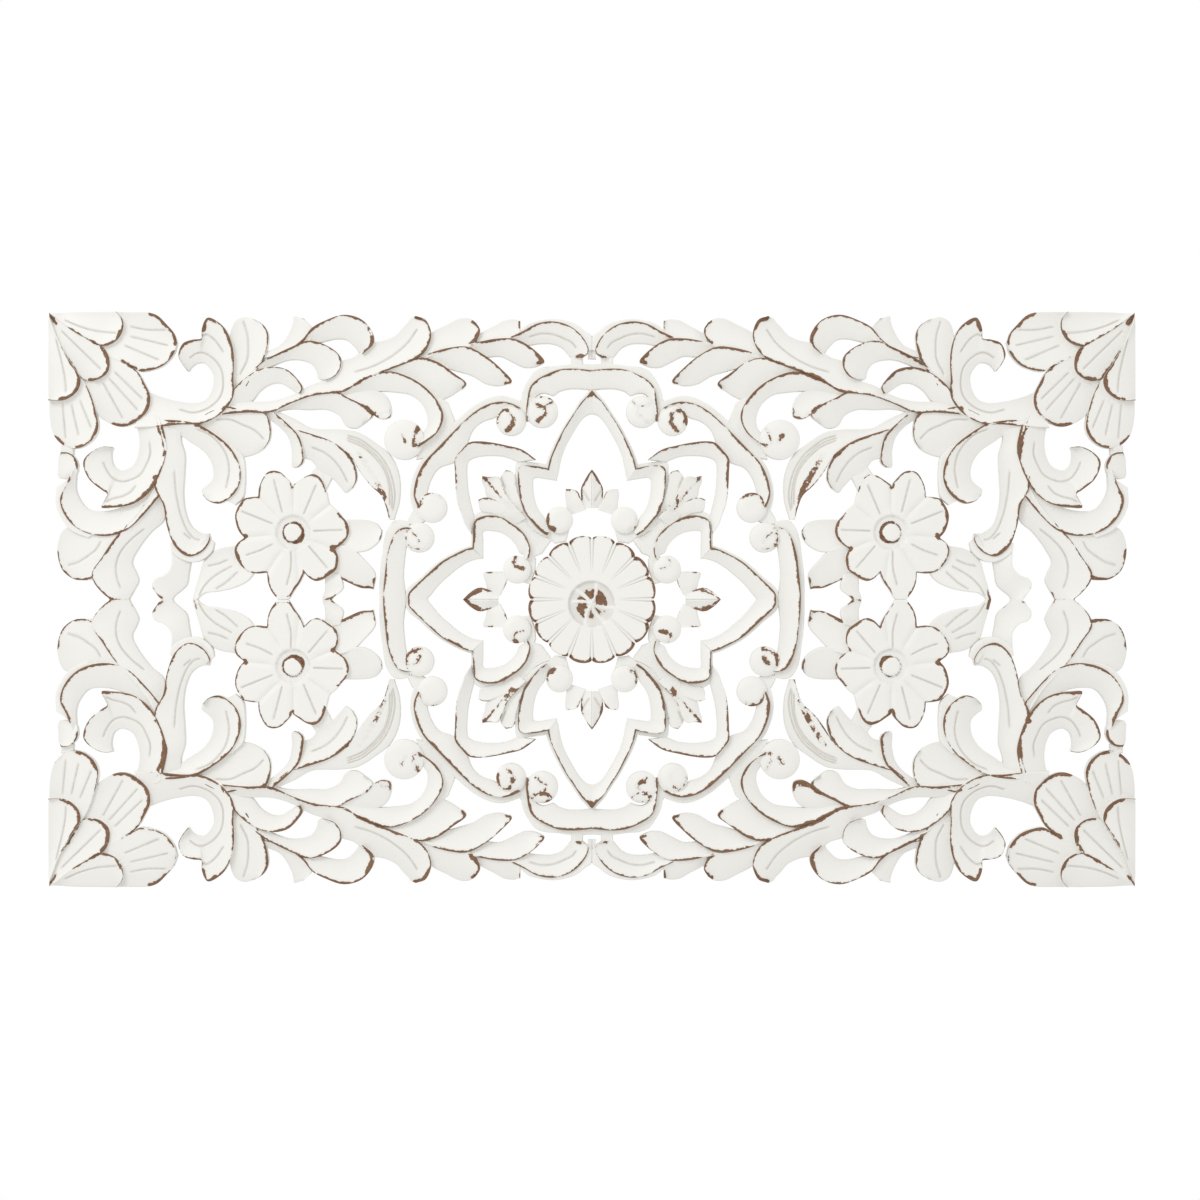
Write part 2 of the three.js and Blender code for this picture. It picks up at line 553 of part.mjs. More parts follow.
// Place on a ring just inside the notches of the rosette, at an angle in degrees.
function underRosette(angle) {
  const radius = (ROSETTE_RADIUS - NOTCH_DEPTH - WEB_LAP) / CELL_X;
  const turn = THREE.MathUtils.degToRad(angle);
  return [radius * Math.cos(turn), radius * Math.sin(turn)];
}

// Webs
web([[62, 178], [72, 180], [72, 200], [64, 206]]);
web([[164, 80], [174, 74], [186, 76], [180, 88], [172, 94]]);
web([[47, 64], underRosette(57), underRosette(66), [22, 72], [33, 84], [44, 76]]);
web([[63, 54], underRosette(36), underRosette(26), underRosette(14), [72, 18], [75, 32], [66, 46]]);
web([[9, 232], [21, 232], [21, 246], [9, 246]]);
web([[-2, 241], [4, 241], [4, 264], [-2, 264]]);
web([[74, 86], [60, 70], [50, 64], underRosette(56), underRosette(43), [60, 42], [64, 56]]);
web([[257, 128], [272, 138], [281, 126], [276, 116], [266, 110]]);
web([
  [156, 206], [144, 197], [137, 179], [148, 160], [165, 142], [176, 140], [172, 156], [156, 170], [150, 184]
]);
web([[519, 145], [532, 145], [532, 154], [519, 154]]);

// Outlines of the seven petals, from crease to crease
const PETALS = [
  [[334, 103], [331, 118], [320, 129], [308, 124.5], [301, 116]],
  [[299, 115], [290, 122], [277, 126], [267, 112], [263.5, 98]],
  [[262, 95], [248, 81], [243, 68], [247, 58], [257, 51]],
  [[257, 50], [254, 36], [262, 24], [276, 18.5], [288, 27]],
  [[293, 16], [301, 4], [304, -3], [312, -3], [318, 4], [325, 26]],
  [[325, 27], [344, 28], [356, 41], [356, 55], [349, 61]],
  [[348, 62], [357, 80], [352, 98], [343, 102.5], [334, 103]]
];

// Leaves, bands and webs joined, with facets too small to see taken out
let quarter = joined(carving).asOriginal().simplify(FACET);

// Flower with its button, and the balls
const flowerOutline = [];
for (const petal of PETALS) {
  petal.forEach(([a, b], i) => flowerOutline.push([a, b, i === 0 || i === petal.length - 1]));
}
const rounds = BALLS.map(ball);
rounds.push(petalRound(FLOWER_PLACE, flowerOutline, FLOWER_HEART));
const buttonHeights = [BUTTON_TOP, BUTTON_RIM, HEART_FLOOR];
rounds.push(dome(FLOWER_PLACE, BUTTON_RADIUS, buttonHeights, BUTTON_SHOULDER_OUT, ROUND_SIDES));

// One quarter of the pattern, cut to the quarter board and flat at the back
const quarterBoard = new THREE.BoxGeometry(LENGTH / 2, 2 * CREST_FULL, HEIGHT / 2);
quarterBoard.translate(LENGTH / 4, -CREST_FULL, HEIGHT / 4);
quarter = quarter.add(joined(rounds)).intersect(toManifold(quarterBoard));

// Mirror a body across the middle of the board.
function mirrored(geometry, signX, signZ) {
  const copy = geometry.clone();
  copy.scale(signX, 1, signZ);
  return copy;
}

// Rosette with the knob in its heart, in the middle of the board
const rosetteOutline = [];
for (let i = 0; i < ROSETTE_PETALS * PETAL_CORNERS; i += 1) {
  const share = (i % PETAL_CORNERS) / PETAL_CORNERS;
  const angle = (2 * Math.PI * i) / (ROSETTE_PETALS * PETAL_CORNERS);
  const depth = NOTCH_DEPTH * (1 - Math.sqrt(Math.sin(Math.PI * share)));
  const radius = (ROSETTE_RADIUS - depth) / CELL_X;
  rosetteOutline.push([radius * Math.cos(angle), radius * Math.sin(angle), share === 0]);
}
const knobPlace = [0, -KNOB_DROP / CELL_Z];
const knobHeights = [KNOB_TOP, KNOB_SHOULDER, HEART_FLOOR];
const knob = dome(knobPlace, KNOB_RADIUS, knobHeights, BALL_SHOULDER_OUT, 2 * ROUND_SIDES);
const wholeBoard = new THREE.BoxGeometry(LENGTH, 2 * CREST_FULL, HEIGHT);
wholeBoard.translate(0, -CREST_FULL, 0);

const quarterShape = toGeometry(quarter);
let panel = toManifold(petalRound([0, 0], rosetteOutline, ROSETTE_HEART)).add(toManifold(knob));
panel = panel.intersect(toManifold(wholeBoard));
for (const [signX, signZ] of [[1, 1], [-1, 1], [1, -1], [-1, -1]]) {
  panel = panel.add(toManifold(mirrored(quarterShape, signX, signZ)));
}
panel = panel.asOriginal().simplify(FINE_FACET);

const paint = new THREE.MeshStandardMaterial({ color: 0xeeede8, roughness: 0.55, metalness: 0 });
const board = new THREE.Mesh(toGeometry(panel), paint);
board.name = 'carved_panel';

const group = new THREE.Group();
group.name = 'carved_wall_panel';
group.add(board);
export default group;
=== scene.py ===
"""Carved wall panel: a pierced board with a mirrored pattern of leaves, scrolls, a star and a rosette.

The back lies flat at y = 0 and the carved face looks along -Y. The pattern is drawn for one quarter of the
board and mirrored across both middle lines. Its places are given in cells of a grid over the board, counted
from the middle.
"""
import json
import math
from collections import namedtuple

import bpy
import numpy as np
from bpy.props import FloatProperty, FloatVectorProperty, PointerProperty
from bpy.types import Operator, Panel, PropertyGroup
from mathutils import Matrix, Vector

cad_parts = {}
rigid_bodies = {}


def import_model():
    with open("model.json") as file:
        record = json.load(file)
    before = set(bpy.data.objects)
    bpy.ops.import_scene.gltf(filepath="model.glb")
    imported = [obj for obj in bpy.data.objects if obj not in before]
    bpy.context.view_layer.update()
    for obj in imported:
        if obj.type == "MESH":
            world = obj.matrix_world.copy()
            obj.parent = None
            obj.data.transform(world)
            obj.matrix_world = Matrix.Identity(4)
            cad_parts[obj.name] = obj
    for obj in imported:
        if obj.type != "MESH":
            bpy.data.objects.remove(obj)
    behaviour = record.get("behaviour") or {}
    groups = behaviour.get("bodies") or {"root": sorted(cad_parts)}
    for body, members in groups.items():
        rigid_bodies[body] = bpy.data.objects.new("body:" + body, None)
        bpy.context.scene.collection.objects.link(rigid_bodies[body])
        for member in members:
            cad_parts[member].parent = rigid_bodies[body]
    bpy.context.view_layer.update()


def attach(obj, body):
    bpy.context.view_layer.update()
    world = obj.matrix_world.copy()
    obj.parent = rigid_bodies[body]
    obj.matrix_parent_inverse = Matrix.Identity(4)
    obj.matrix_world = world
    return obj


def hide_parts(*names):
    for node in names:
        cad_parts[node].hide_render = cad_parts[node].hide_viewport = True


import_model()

bl_info = {
    "name": "Carved Wall Panel",
    "version": (1, 0, 0),
    "blender": (4, 5, 0),
    "location": "View3D > Sidebar > Carved Panel",
    "description": "Builds a pierced and carved wooden wall panel with a worn white finish",
    "category": "Object",
}

BODY = "root"
NODE = "carved_panel"

MM = 0.001
GRID_COLUMNS = 1088
GRID_ROWS = 576

# How finely shapes are worked out. Rows of a strip lie further apart than its columns, and gather at a tip.
CURVE_STEPS = 16
PETAL_STEPS = 6
MARK_STEPS = 5
FEWEST_ROWS = 6
FEWEST_COLUMNS = 4
ROW_STRETCH = 1.8
TIP_GATHER = 1.4
SMALLEST_WIDTH = 0.4 * MM
SMALLEST_GAP = 1e-4
SMALLEST_SQUARE = 1e-12
SMALLEST_FALL = 1e-6
SMOOTH_ANGLE = math.radians(40)
ARRIS_TURN = np.radians([0, 30, 60, 90])
WIDEST_ARRIS = 0.4
ROUND_EYE = 0.01

# How much coarser the mesh is on leaves without veins, on bands and on flat ledges
PLAIN_STEP = 1.8
BAND_STEP = 1.5
LEDGE_STEP = 2

# Parts that overlap are moved apart by a hair's breadth at most, so that no two faces lie in one plane
HAIR = 0.25 * MM
SHRINK = 0.0004
GOLDEN_RATIO = (1 + math.sqrt(5)) / 2
SHELLS_A_PIECE = 1000

# How the carving runs: the foot of a leaf comes up to its tip, and its face is scooped
TIP_WIDTH = 11 * MM
SCOOP = 1.3
# Painted shade darkens a leaf's face towards its foot: this share at the foot, growing by this power across
SHADE_AT_FOOT = 0.22
SHADE_POWER = 3

# Wear is stored as the distance from the nearest rubbed edge. What is rubbed less counts as further away.
# Each kind of rubbing gives what is added at the crest and at the foot.
RUBBED = {
    "crest": (0, 5 * MM), "foot": (5 * MM, 0), "both": (0, 1.2 * MM), "light": (1.5 * MM, 6 * MM),
    "none": (8 * MM, 8 * MM),
}
ROOT_CLEAN = 4 * MM
TIP_RUB = 2.0 * MM
TIP_LENGTH = 13 * MM
WALL_GUARD = 1.4
THIN_LINE = 1.1 * MM
SCUFF_LEVEL = 2.3 * MM
SCUFF_REACH = 2.5 * MM
FAR_FROM_WEAR = 30 * MM

# A leaf starts low under its neighbour: it dips by so many millimetres and is clean over so many
Leaf = namedtuple(
    "Leaf", "name crest foot rungs veins worn thin scuffs rubbed dip clean",
    defaults=((), (), (), (), "crest", 2, 13))
Band = namedtuple("Band", "name crest rungs worn clean", defaults=((), 0))
# A closed shell: its points, and on each point the worn distance and the grey of dust and painted shade
Shell = namedtuple("Shell", "points worn hollow")
PLAIN = Leaf("", "", "", (), dip=0, clean=0)
BARE_OF_WEAR = PLAIN._replace(rubbed="none")

# Balls at the scroll ends and beside the star: place of the middle, radius, and lines of rubbing on the top
Ball = namedtuple("Ball", "place radius scuffs")
BALL_SECTORS = 48
BALL_RINGS = 13
BALL_POWER = 4
BALLS = (
    Ball((50, 188), 16, (
        ((61, 200), (56, 203), (50, 204), (44, 203), (39, 199)), ((60, 199), (55, 195), (48, 193), (40, 198)),
        ((47, 191), (46, 186), (52, 182), (55, 178)),
    )),
    Ball((81, 179), 15, (((94, 176), (94, 182), (87, 190), (80, 184), (79, 176), (85, 169)),)),
    Ball((160, 92), 15, (((174, 94), (167, 104), (158, 106), (149, 103)),)),
    Ball((173, 62), 15, (((185, 69), (185, 56), (180, 52), (172, 50)), ((180, 67), (175, 63), (172, 58)))),
    Ball((32.5, 79.5), 13.5, (((46, 86), (45, 74), (38, 70)),)),
    Ball((75, 30), 14, (((76, 44), (78, 35), (69, 31)),)),
    Ball((188, 160), 20, (((174, 171), (178, 161), (178.5, 155.5), (173.5, 155)), ((190, 164), (187, 158)))),
)

# The corner shell: three lobes under three petals
SHELL_LEAVES = (
    Leaf("shell_lobe_top", "middle", "thin", (
        (512, 262, 512, 262), (484, 243, 484, 287.5), (462, 234, 458, 288), (452, 228.3, 447, 288),
        (440, 229.8, 436, 285), (428, 235, 426.5, 276), (418.5, 246, 418.5, 266.5), (415, 257, 415, 257)
    ), veins=(
        ((461, 273), (445, 270), (427, 270)), ((461, 263), (425, 254.5)), ((467, 254), (434, 240))
    ), worn=(
        ((443.5, 286), (434.5, 283), (426.5, 275)), ((418.5, 247), (425, 237), (438, 231), (453, 229))
    ), thin=(((453, 229), (462, 234.5), (470, 239)), ((425, 274), (418, 265), (416.5, 256)),),
    rubbed="none", dip=4.5, clean=75),
    Leaf("shell_lobe_middle", "middle", "thin", (
        (522, 242, 522, 242), (488, 247, 508, 208), (456, 229, 500, 195), (447.5, 216, 494, 184),
        (442, 203, 483, 176.5), (444, 190, 474, 173.4), (452, 181, 466, 173.6), (459.5, 176, 459.5, 176)
    ), veins=(((477, 227), (450, 201)), ((483, 221), (455, 190)), ((489, 216), (470, 182)),), worn=(
        ((449, 218), (443, 205), (445, 191), (453, 182), (466, 175), (480, 174.5)),
    ), dip=4.5, clean=85),
    Leaf("shell_lobe_side", "middle", "thin", (
        (522, 240, 543, 232), (503, 208, 543.5, 205), (496, 186, 543.3, 187), (494, 172, 541.5, 173),
        (498, 162, 538, 163), (505, 155.5, 531, 155.5), (512, 152, 525, 152.3), (518.5, 151, 518.5, 151)
    ), veins=(((530, 195), (527, 162)), ((521, 195), (514, 165)), ((512, 198), (501, 172)),), worn=(
        ((495, 172), (499, 163), (507, 155), (516, 153)),
    ), thin=(((530, 156), (538, 163)),), dip=4.5, clean=75),
    Leaf("shell_petal_top", "full", "thick", (
        (542, 286, 542, 286), (522, 270.5, 520, 287.5), (502, 259, 500, 287.8), (488, 253.5, 490, 288),
        (476, 258.5, 484, 288), (469.5, 268, 480, 288), (469, 279, 477.5, 288), (475.5, 288, 475.5, 288)
    ), veins=(((527, 279.5), (512, 273), (495, 268.5), (476, 266.5)),), worn=(
        ((471, 268), (476, 259), (488, 254)),
    ), clean=45),
    Leaf("shell_petal_middle", "high", "thick", (
        (543, 287, 543, 284), (521, 273, 538, 261), (501, 259, 525, 243), (487, 250.5, 515, 227),
        (482.5, 239, 511, 221), (484, 228, 506, 219.3), (492, 221, 500, 218.8), (497, 219.2, 497, 219.2)
    ), veins=(((530, 268), (492, 231)),), worn=(
        ((543, 286), (537, 277)), ((491, 252), (486, 244), (484, 237)),
        ((484, 243), (484, 230), (492, 222), (503, 220))
    ), rubbed="both", clean=45),
    Leaf("shell_petal_side", "full", "thick", (
        (543, 284, 543, 284), (533, 258, 545, 262), (520, 235, 545, 240), (511.5, 221, 545, 225),
        (513, 211, 545, 215), (519, 204, 544.5, 208), (528, 199.3, 544, 203), (543.5, 199.3, 543.5, 199.3)
    ), veins=(((536, 260), (530, 236), (527, 220), (526, 208)),), worn=(
        ((512, 222), (514, 212), (521, 204), (532, 200)),
    ), clean=75),
)

# The two scrolls beside the corner shell
SCROLL_LEAVES = (
    Leaf("curl_right", "full", "thin", (
        (458, 172, 444, 208), (432, 173, 430, 202.5), (412, 175, 413, 198.3), (390, 176, 396, 197),
        (371, 186, 386, 201), (359, 202, 380, 212), (358.5, 222, 379, 224), (358, 243, 383.5, 232.5),
        (361.5, 260, 386, 235), (370, 274.5, 387.6, 236.2), (384.3, 282, 388.8, 236.8),
        (390, 271, 390, 237.2), (390, 261.5, 395.5, 236.5), (399, 260, 399, 234.5),
        (408.6, 256.5, 401, 232.5), (413.5, 245, 402.5, 230.5), (410, 236, 403, 229.5),
        (404, 228.3, 404, 228.3)
    ), veins=(
        ((402, 242), (396, 246), (390, 247), (383, 244), (376, 238), (371, 230), (369, 218), (370, 208),
         (374, 200), (382, 193), (390, 189), (400, 187), (412, 190)),
        ((390, 264), (385, 265), (377, 259), (369, 248))
    ), worn=(
        ((389, 270), (384.5, 281), (376, 277)), ((357, 218), (352, 215), (358, 209)),
        ((369, 191), (366, 188))
    ), clean=45),
    Leaf("curl_left", "full", "thin", (
        (432, 182, 460, 184), (427, 165, 453.5, 164), (425, 150, 454, 147), (431, 128, 459, 135),
        (441, 109.5, 463.5, 131.5), (451, 100, 466, 130.4), (462, 94.5, 467.8, 129.8),
        (481, 92, 469.5, 129.5), (490.5, 92, 471, 129.4), (487, 99, 473.5, 130),
        (484.5, 105.5, 477.5, 132.5), (490, 109.5, 479, 134.5), (503.3, 121.2, 480.5, 139),
        (508.5, 138, 481, 145), (500, 148, 480.5, 149), (488, 153, 479.8, 151), (479, 152.3, 479, 152.3)
    ), veins=(
        ((443, 157), (442, 146), (446, 135), (452, 125), (461, 120), (470, 118), (479, 121), (486, 130),
         (489, 137)), ((457, 113), (462, 107), (470, 103), (480, 100.5), (485, 98))
    ), worn=(
        ((429, 157), (427.5, 151), (428, 143)), ((490, 92.5), (482, 93)),
        ((437, 113), (434, 120), (437, 122))
    ), thin=(((434, 171), (430, 162), (429, 157)),), clean=16),
)

# The stem with the leaves above it and below it
STEM_LEAVES = (
    Leaf("spray_bud", "middle", "thin", (
        (348, 210, 364, 212), (340, 222, 362, 240), (330, 237, 363, 258), (325, 252, 361.5, 270),
        (324, 266, 357, 279), (329, 275, 348, 283), (337, 280, 337, 280)
    ), veins=(((349, 278), (345, 265), (344, 252), (345, 240), (352, 226)),)),
    Leaf("small_hook", "high", "thin", (
        (370, 186, 364, 186), (361, 206, 352, 192), (350, 219, 340, 199), (333, 230, 332.5, 208.5),
        (318, 232.8, 322, 215.5), (304, 229.5, 312, 216.5), (293.5, 219, 303, 211.5),
        (289.3, 212, 297, 207.5), (291.5, 206, 291.5, 206)
    ), clean=3),
    Leaf("arch_leaf_top", "high", "thin", (
        (303, 250, 300, 244), (289, 261, 286, 255), (280, 272, 270, 258), (266, 279.5, 256, 261),
        (248, 285, 246, 260), (230, 280, 239.5, 254.5), (219, 266, 235.5, 250), (218.5, 256, 234, 247.5),
        (229, 246, 229, 246)
    ), worn=(((224, 271), (220.5, 262), (221, 254), (227, 247)),)),
    Leaf("arch_leaf_low", "high", "thin", (
        (343, 227, 337, 219), (328, 239, 325, 231), (318, 244.5, 314, 236.5), (300, 253, 302, 240),
        (284, 259, 288, 239), (266, 254.5, 279.5, 234.5), (252, 243.5, 275, 226), (251, 233, 274.5, 222),
        (257, 223.5, 273, 220.5), (266.5, 219.7, 266.5, 219.7)
    )),
    Leaf("back_leaf_top", "low", "thin", (
        (338, 240, 330, 247), (308, 246, 312, 255), (290, 253, 303, 268), (280, 262, 299, 279),
        (280, 272, 298.5, 283.7), (288, 281, 288, 281)
    ), rubbed="none"),
    Leaf("great_stem", "full", "thick", (
        (378, 184, 378, 194), (345, 187, 346, 198), (322, 187, 322, 198.5), (300, 196.5, 303, 203.5),
        (278, 204, 283, 214), (262, 206, 266, 221), (247, 208, 252, 238), (230, 219, 238, 243),
        (212, 226.5, 222, 256), (195, 232.5, 206, 260), (178, 239.8, 196, 265), (167, 248, 189, 273),
        (161, 261, 184, 278), (161.5, 270, 182, 281), (166.5, 280, 179, 283), (176, 283.5, 176, 283.5)
    ), veins=(((236, 228), (222, 232), (207, 239), (195, 247), (184, 257), (175, 270)),), worn=(
        ((176, 282.5), (167, 278.5), (161.5, 269)), ((165, 251), (169, 246), (175, 240))
    )),
    Leaf("great_hook", "full", "thick", (
        (258, 206, 254, 200), (238, 215, 232, 207), (220, 223.5, 212, 208.5), (202, 228, 196, 207.5),
        (184, 223, 182, 205), (168, 213.5, 170.5, 196), (155.5, 200, 165, 184), (148.5, 184, 165, 174),
        (154, 168, 169, 167), (168, 156, 172, 160), (174, 152.5, 174, 152.5)
    )),
    Leaf("low_leaf_a", "high", "thin", (
        (320, 190, 322, 186), (296, 200, 303, 190.5), (278, 206, 284, 190), (256, 208, 265, 190),
        (244, 202, 253, 184), (228, 194, 246, 173.5), (219, 184.5, 236, 171.5), (227, 177, 227, 177)
    )),
    Leaf("low_leaf_bud", "middle", "thick", (
        (254, 204, 250, 210), (236, 195, 236, 210), (226, 192, 220, 210), (218, 184, 208, 206),
        (210, 180.5, 202.5, 198), (202, 182.5, 200.5, 189), (201, 185, 201, 185)
    ), thin=(((226, 182.5), (214, 182), (203, 184), (202, 191)),), scuffs=(
        ((222, 187), (212, 185), (204, 187)),
    ), clean=10),
    Leaf("drop_leaf_a", "high", "thin", (
        (210, 231, 204, 220), (186, 238, 182, 219), (170, 242, 170, 210), (154, 237.5, 157, 199),
        (139, 227, 143, 203), (125.5, 216, 132, 210), (129, 211, 129, 211)
    ), worn=(((125.5, 218), (126, 215), (129, 212)),), clean=20),
    Leaf("drop_leaf_b", "high", "thin", (
        (174, 242, 172, 236), (158, 248, 152, 233), (142, 252, 133, 228), (125, 253, 120, 224),
        (106, 243.5, 106, 216), (91, 231, 93, 214), (80, 218.5, 84, 216), (82, 216, 82, 216)
    ), worn=(((86, 225), (80, 218), (85, 216)),), clean=28),
    Leaf("drop_leaf_c", "high", "thin", (
        (128, 255, 126, 249), (108, 259, 106, 243), (93, 261.3, 92, 243.5), (76, 260.5, 79, 237.5),
        (61, 252.5, 68, 232.5), (47.5, 239, 57, 233), (48, 237, 52, 235)
    ), worn=(((55, 245), (48, 238), (54, 237)),), clean=30),
    Leaf("top_leaf_a", "middle", "thin", (
        (174, 238, 166, 262), (158, 244, 159, 268.5), (140, 248, 146, 275), (124.5, 251, 134, 281),
        (115, 260, 126, 282), (112, 270, 121, 280.8), (116, 277, 116, 277)
    ), worn=(((119, 278.5), (112, 271.5), (114.5, 262), (121, 256)),), rubbed="none"),
    Leaf("top_leaf_b", "middle", "thin", (
        (118, 252, 112, 267), (100, 256.5, 98, 274), (82, 259, 88, 279.5), (73, 264, 79, 280.7),
        (71.8, 272, 75, 280), (71.8, 278.5, 71.8, 278.5)
    ), thin=(((72, 280), (72, 272)),), rubbed="none"),
    Leaf("top_arch", "high", "thin", (
        (88, 260, 80, 254), (69, 268.5, 64, 254.5), (55, 276, 54, 256), (39, 278.3, 40, 256),
        (22, 273.5, 30, 252), (8.5, 261.5, 24.5, 246), (3.5, 248, 22, 243), (10, 241.5, 17, 242)
    ), veins=(((62, 263), (50, 266), (38, 265), (28, 261), (20, 257), (16, 252)),), worn=(
        ((3.5, 256), (4.5, 245), (14, 243)),
    )),
)

# The leaves at the short edge
EDGE_LEAVES = (
    Leaf("hooked_leaf", "full", "thin", (
        (432, 180, 430, 160), (412, 179, 413, 164), (396, 176, 402, 157.5), (378, 166, 389, 148.5),
        (362, 152.5, 381.5, 138), (352.5, 135, 379, 127), (351.5, 119, 380.5, 119.5),
        (358, 105.5, 386, 114), (373, 96, 390.5, 110.5), (384, 99, 390, 105), (388.5, 104.5, 388.5, 104.5)
    ), veins=(((395, 170), (383, 165), (373, 156), (366, 145), (363, 130), (366, 112)),)),
    Leaf("round_leaf", "middle", "thin", (
        (396, 181, 396, 172), (368, 193, 387, 166), (350, 190, 373, 156), (327, 186.5, 360, 143),
        (321.5, 172, 345, 143.5), (322.5, 160, 334, 147.5), (327.5, 152, 327.5, 152)
    ), veins=(((376, 180), (362, 180), (348, 174), (337, 169), (329, 161)),)),
    Leaf("dolphin_leaf", "high", "thick", (
        (438, 184, 410, 180), (431.5, 164, 411.5, 160), (427.5, 151, 407.5, 145), (432, 135, 408, 125),
        (437.5, 113, 409, 105), (429, 95, 407, 88), (425, 73, 402, 75), (417, 53, 396, 69),
        (404, 43.3, 390, 66.3), (390, 48, 385, 66), (382, 60, 383, 66), (383, 66, 383, 66)
    ), veins=(
        ((418, 128), (416, 105), (411, 83), (405, 69), (398, 61), (393, 59.5)), ((408, 66), (402, 61))
    )),
    Leaf("crescent_leaf", "high", "thin", (
        (520, 130, 516, 128), (526, 114, 516.5, 110), (532, 101, 512, 99), (527, 84, 504, 90.5),
        (512, 69.5, 490, 88.5), (488, 63.5, 472, 92), (466, 69, 460, 98), (449, 84, 449, 106),
        (432, 104, 437, 123)
    )),
    Leaf("edge_cap", "middle", "thin", (
        (515, 128, 519, 121), (514.5, 136, 534, 122), (518, 143, 534.5, 134), (524, 147, 534, 143),
        (531, 147.5, 531, 147.5)
    )),
    Leaf("foot_leaf_outer", "middle", "thin", (
        (470, 70, 500, 74), (477, 53, 528, 71), (487, 39, 534.5, 58), (496, 25, 535, 44),
        (500, 20, 530, 29), (508, 19.3, 521, 21.5), (515, 19.5, 515, 19.5)
    ), veins=(((492, 57), (496, 50), (505, 43), (514, 37.5), (524, 34.5)),), worn=(
        ((535.5, 48), (534, 36), (529, 27), (521, 20.5), (508, 20), (501, 22)),
    ), rubbed="none"),
    Leaf("foot_leaf_inner", "high", "thin", (
        (437, 114, 427, 96), (449, 94, 429, 79), (465, 75, 441, 68), (479, 59, 454, 51),
        (491, 41, 460.5, 37), (500, 27, 456, 26), (498, 17, 454, 19), (488, 5, 458, 10), (483, 1, 463, 1),
        (482, -2, 464, -2)
    ), veins=(((449, 70), (460, 61), (470, 50), (475, 40), (476.5, 30), (475, 20), (472, 12)),), worn=(
        ((500, 22), (496, 12), (489, 4)),
    ), thin=(((489, 4), (480, -0.5), (464, -0.5), (459, 6)),), clean=90),
    Leaf("toe_leaf", "middle", "thin", (
        (421, 48, 400, 46), (421, 33, 403.5, 26), (428, 24.5, 405.5, 15), (437, 21, 411, 9),
        (440, 14, 416, 5), (435, 5, 419, 2), (430, -2, 420, -2)
    ), thin=(((440, 12), (437, 6), (430, 2)), ((418, 1), (411, 7)),), rubbed="none"),
)

# The leaves round the flower
FLOWER_LEAVES = (
    Leaf("veined_leaf", "middle", "thick", (
        (334, 34, 350, 56), (343, 20, 357, 54), (356, 12.5, 375, 50), (374, 8, 388, 40),
        (388, 6, 392.5, 26), (395, 0, 399.5, 0), (396, -2, 399, -2)
    ), veins=(
        ((365, 39.5), (373, 36), (384, 33.5)), ((361, 33), (378, 23), (388, 13), (393, 4)),
        ((355, 27), (366, 17), (376, 10.5)), ((379, 49.5), (388, 39))
    ), thin=(((398, 0), (396, 9)),), rubbed="none"),
    Leaf("side_leaf_round", "middle", "thin", (
        (252, 48, 252, 80), (228, 48, 232, 80), (217, 54, 222, 79), (211, 62, 215, 76), (210, 69, 210, 69)
    ), worn=(((211, 61), (209, 69), (212, 77)),), rubbed="none"),
    Leaf("side_leaf_pointed", "middle", "thin", (
        (256, 56, 262, 26), (240, 51, 243, 16.5), (227, 39, 231, 11.5), (217, 26, 222, 11),
        (218.7, 10.3, 218.7, 10.3)
    ), worn=(((217, 20), (218, 11), (224, 11)),), rubbed="foot"),
    Leaf("side_leaf_stub", "low", "thin", (
        (252, 25, 268, 28), (249, 11, 267.5, 9), (258, 3, 269.5, 3), (262, -2, 270, -2)
    ), thin=(((270, 1), (262, 1), (256, 4)),), rubbed="none"),
    Leaf("thin_blade", "high", "thin", (
        (324, 192, 326, 182), (305, 176.5, 312, 172), (293, 163, 304, 162), (289, 148, 300.5, 148),
        (289, 137, 300, 132.5), (294, 132.5, 294, 132.5)
    )),
    Leaf("vein_blade", "high", "thin", (
        (302, 172, 292, 142), (280, 165.5, 281, 139), (262, 159, 272, 127.5), (248, 149.5, 260, 121),
        (238, 135.5, 251, 111.5), (235, 121, 247, 107), (239, 112, 239, 112)
    ), veins=(((280, 152), (268, 147), (258, 139), (250, 128), (245, 118)),)),
    Leaf("feather_leaf", "middle", "thick", (
        (320, 184, 322, 192), (298, 168, 296, 180), (275, 161, 280, 171.5), (256, 152, 252, 170.3),
        (243, 144, 234, 167.5), (231, 126, 216, 156.5), (221.5, 114, 202, 145), (211, 104, 193, 125),
        (206, 92, 192.5, 100), (203, 80, 198, 80)
    ), veins=(
        ((244, 164), (232, 160), (222, 153), (212, 144), (204, 132), (199, 118), (197, 103), (199, 90)),
        ((244, 159), (230, 153), (218, 143), (208, 130), (203, 115), (202, 95)),
        ((244, 161.5), (231, 156.5), (220, 148), (210, 137), (203.5, 123.5), (200, 106), (200, 92))
    ), scuffs=(((232, 145), (223, 131), (214, 115), (208, 102)),), rubbed="light"),
)

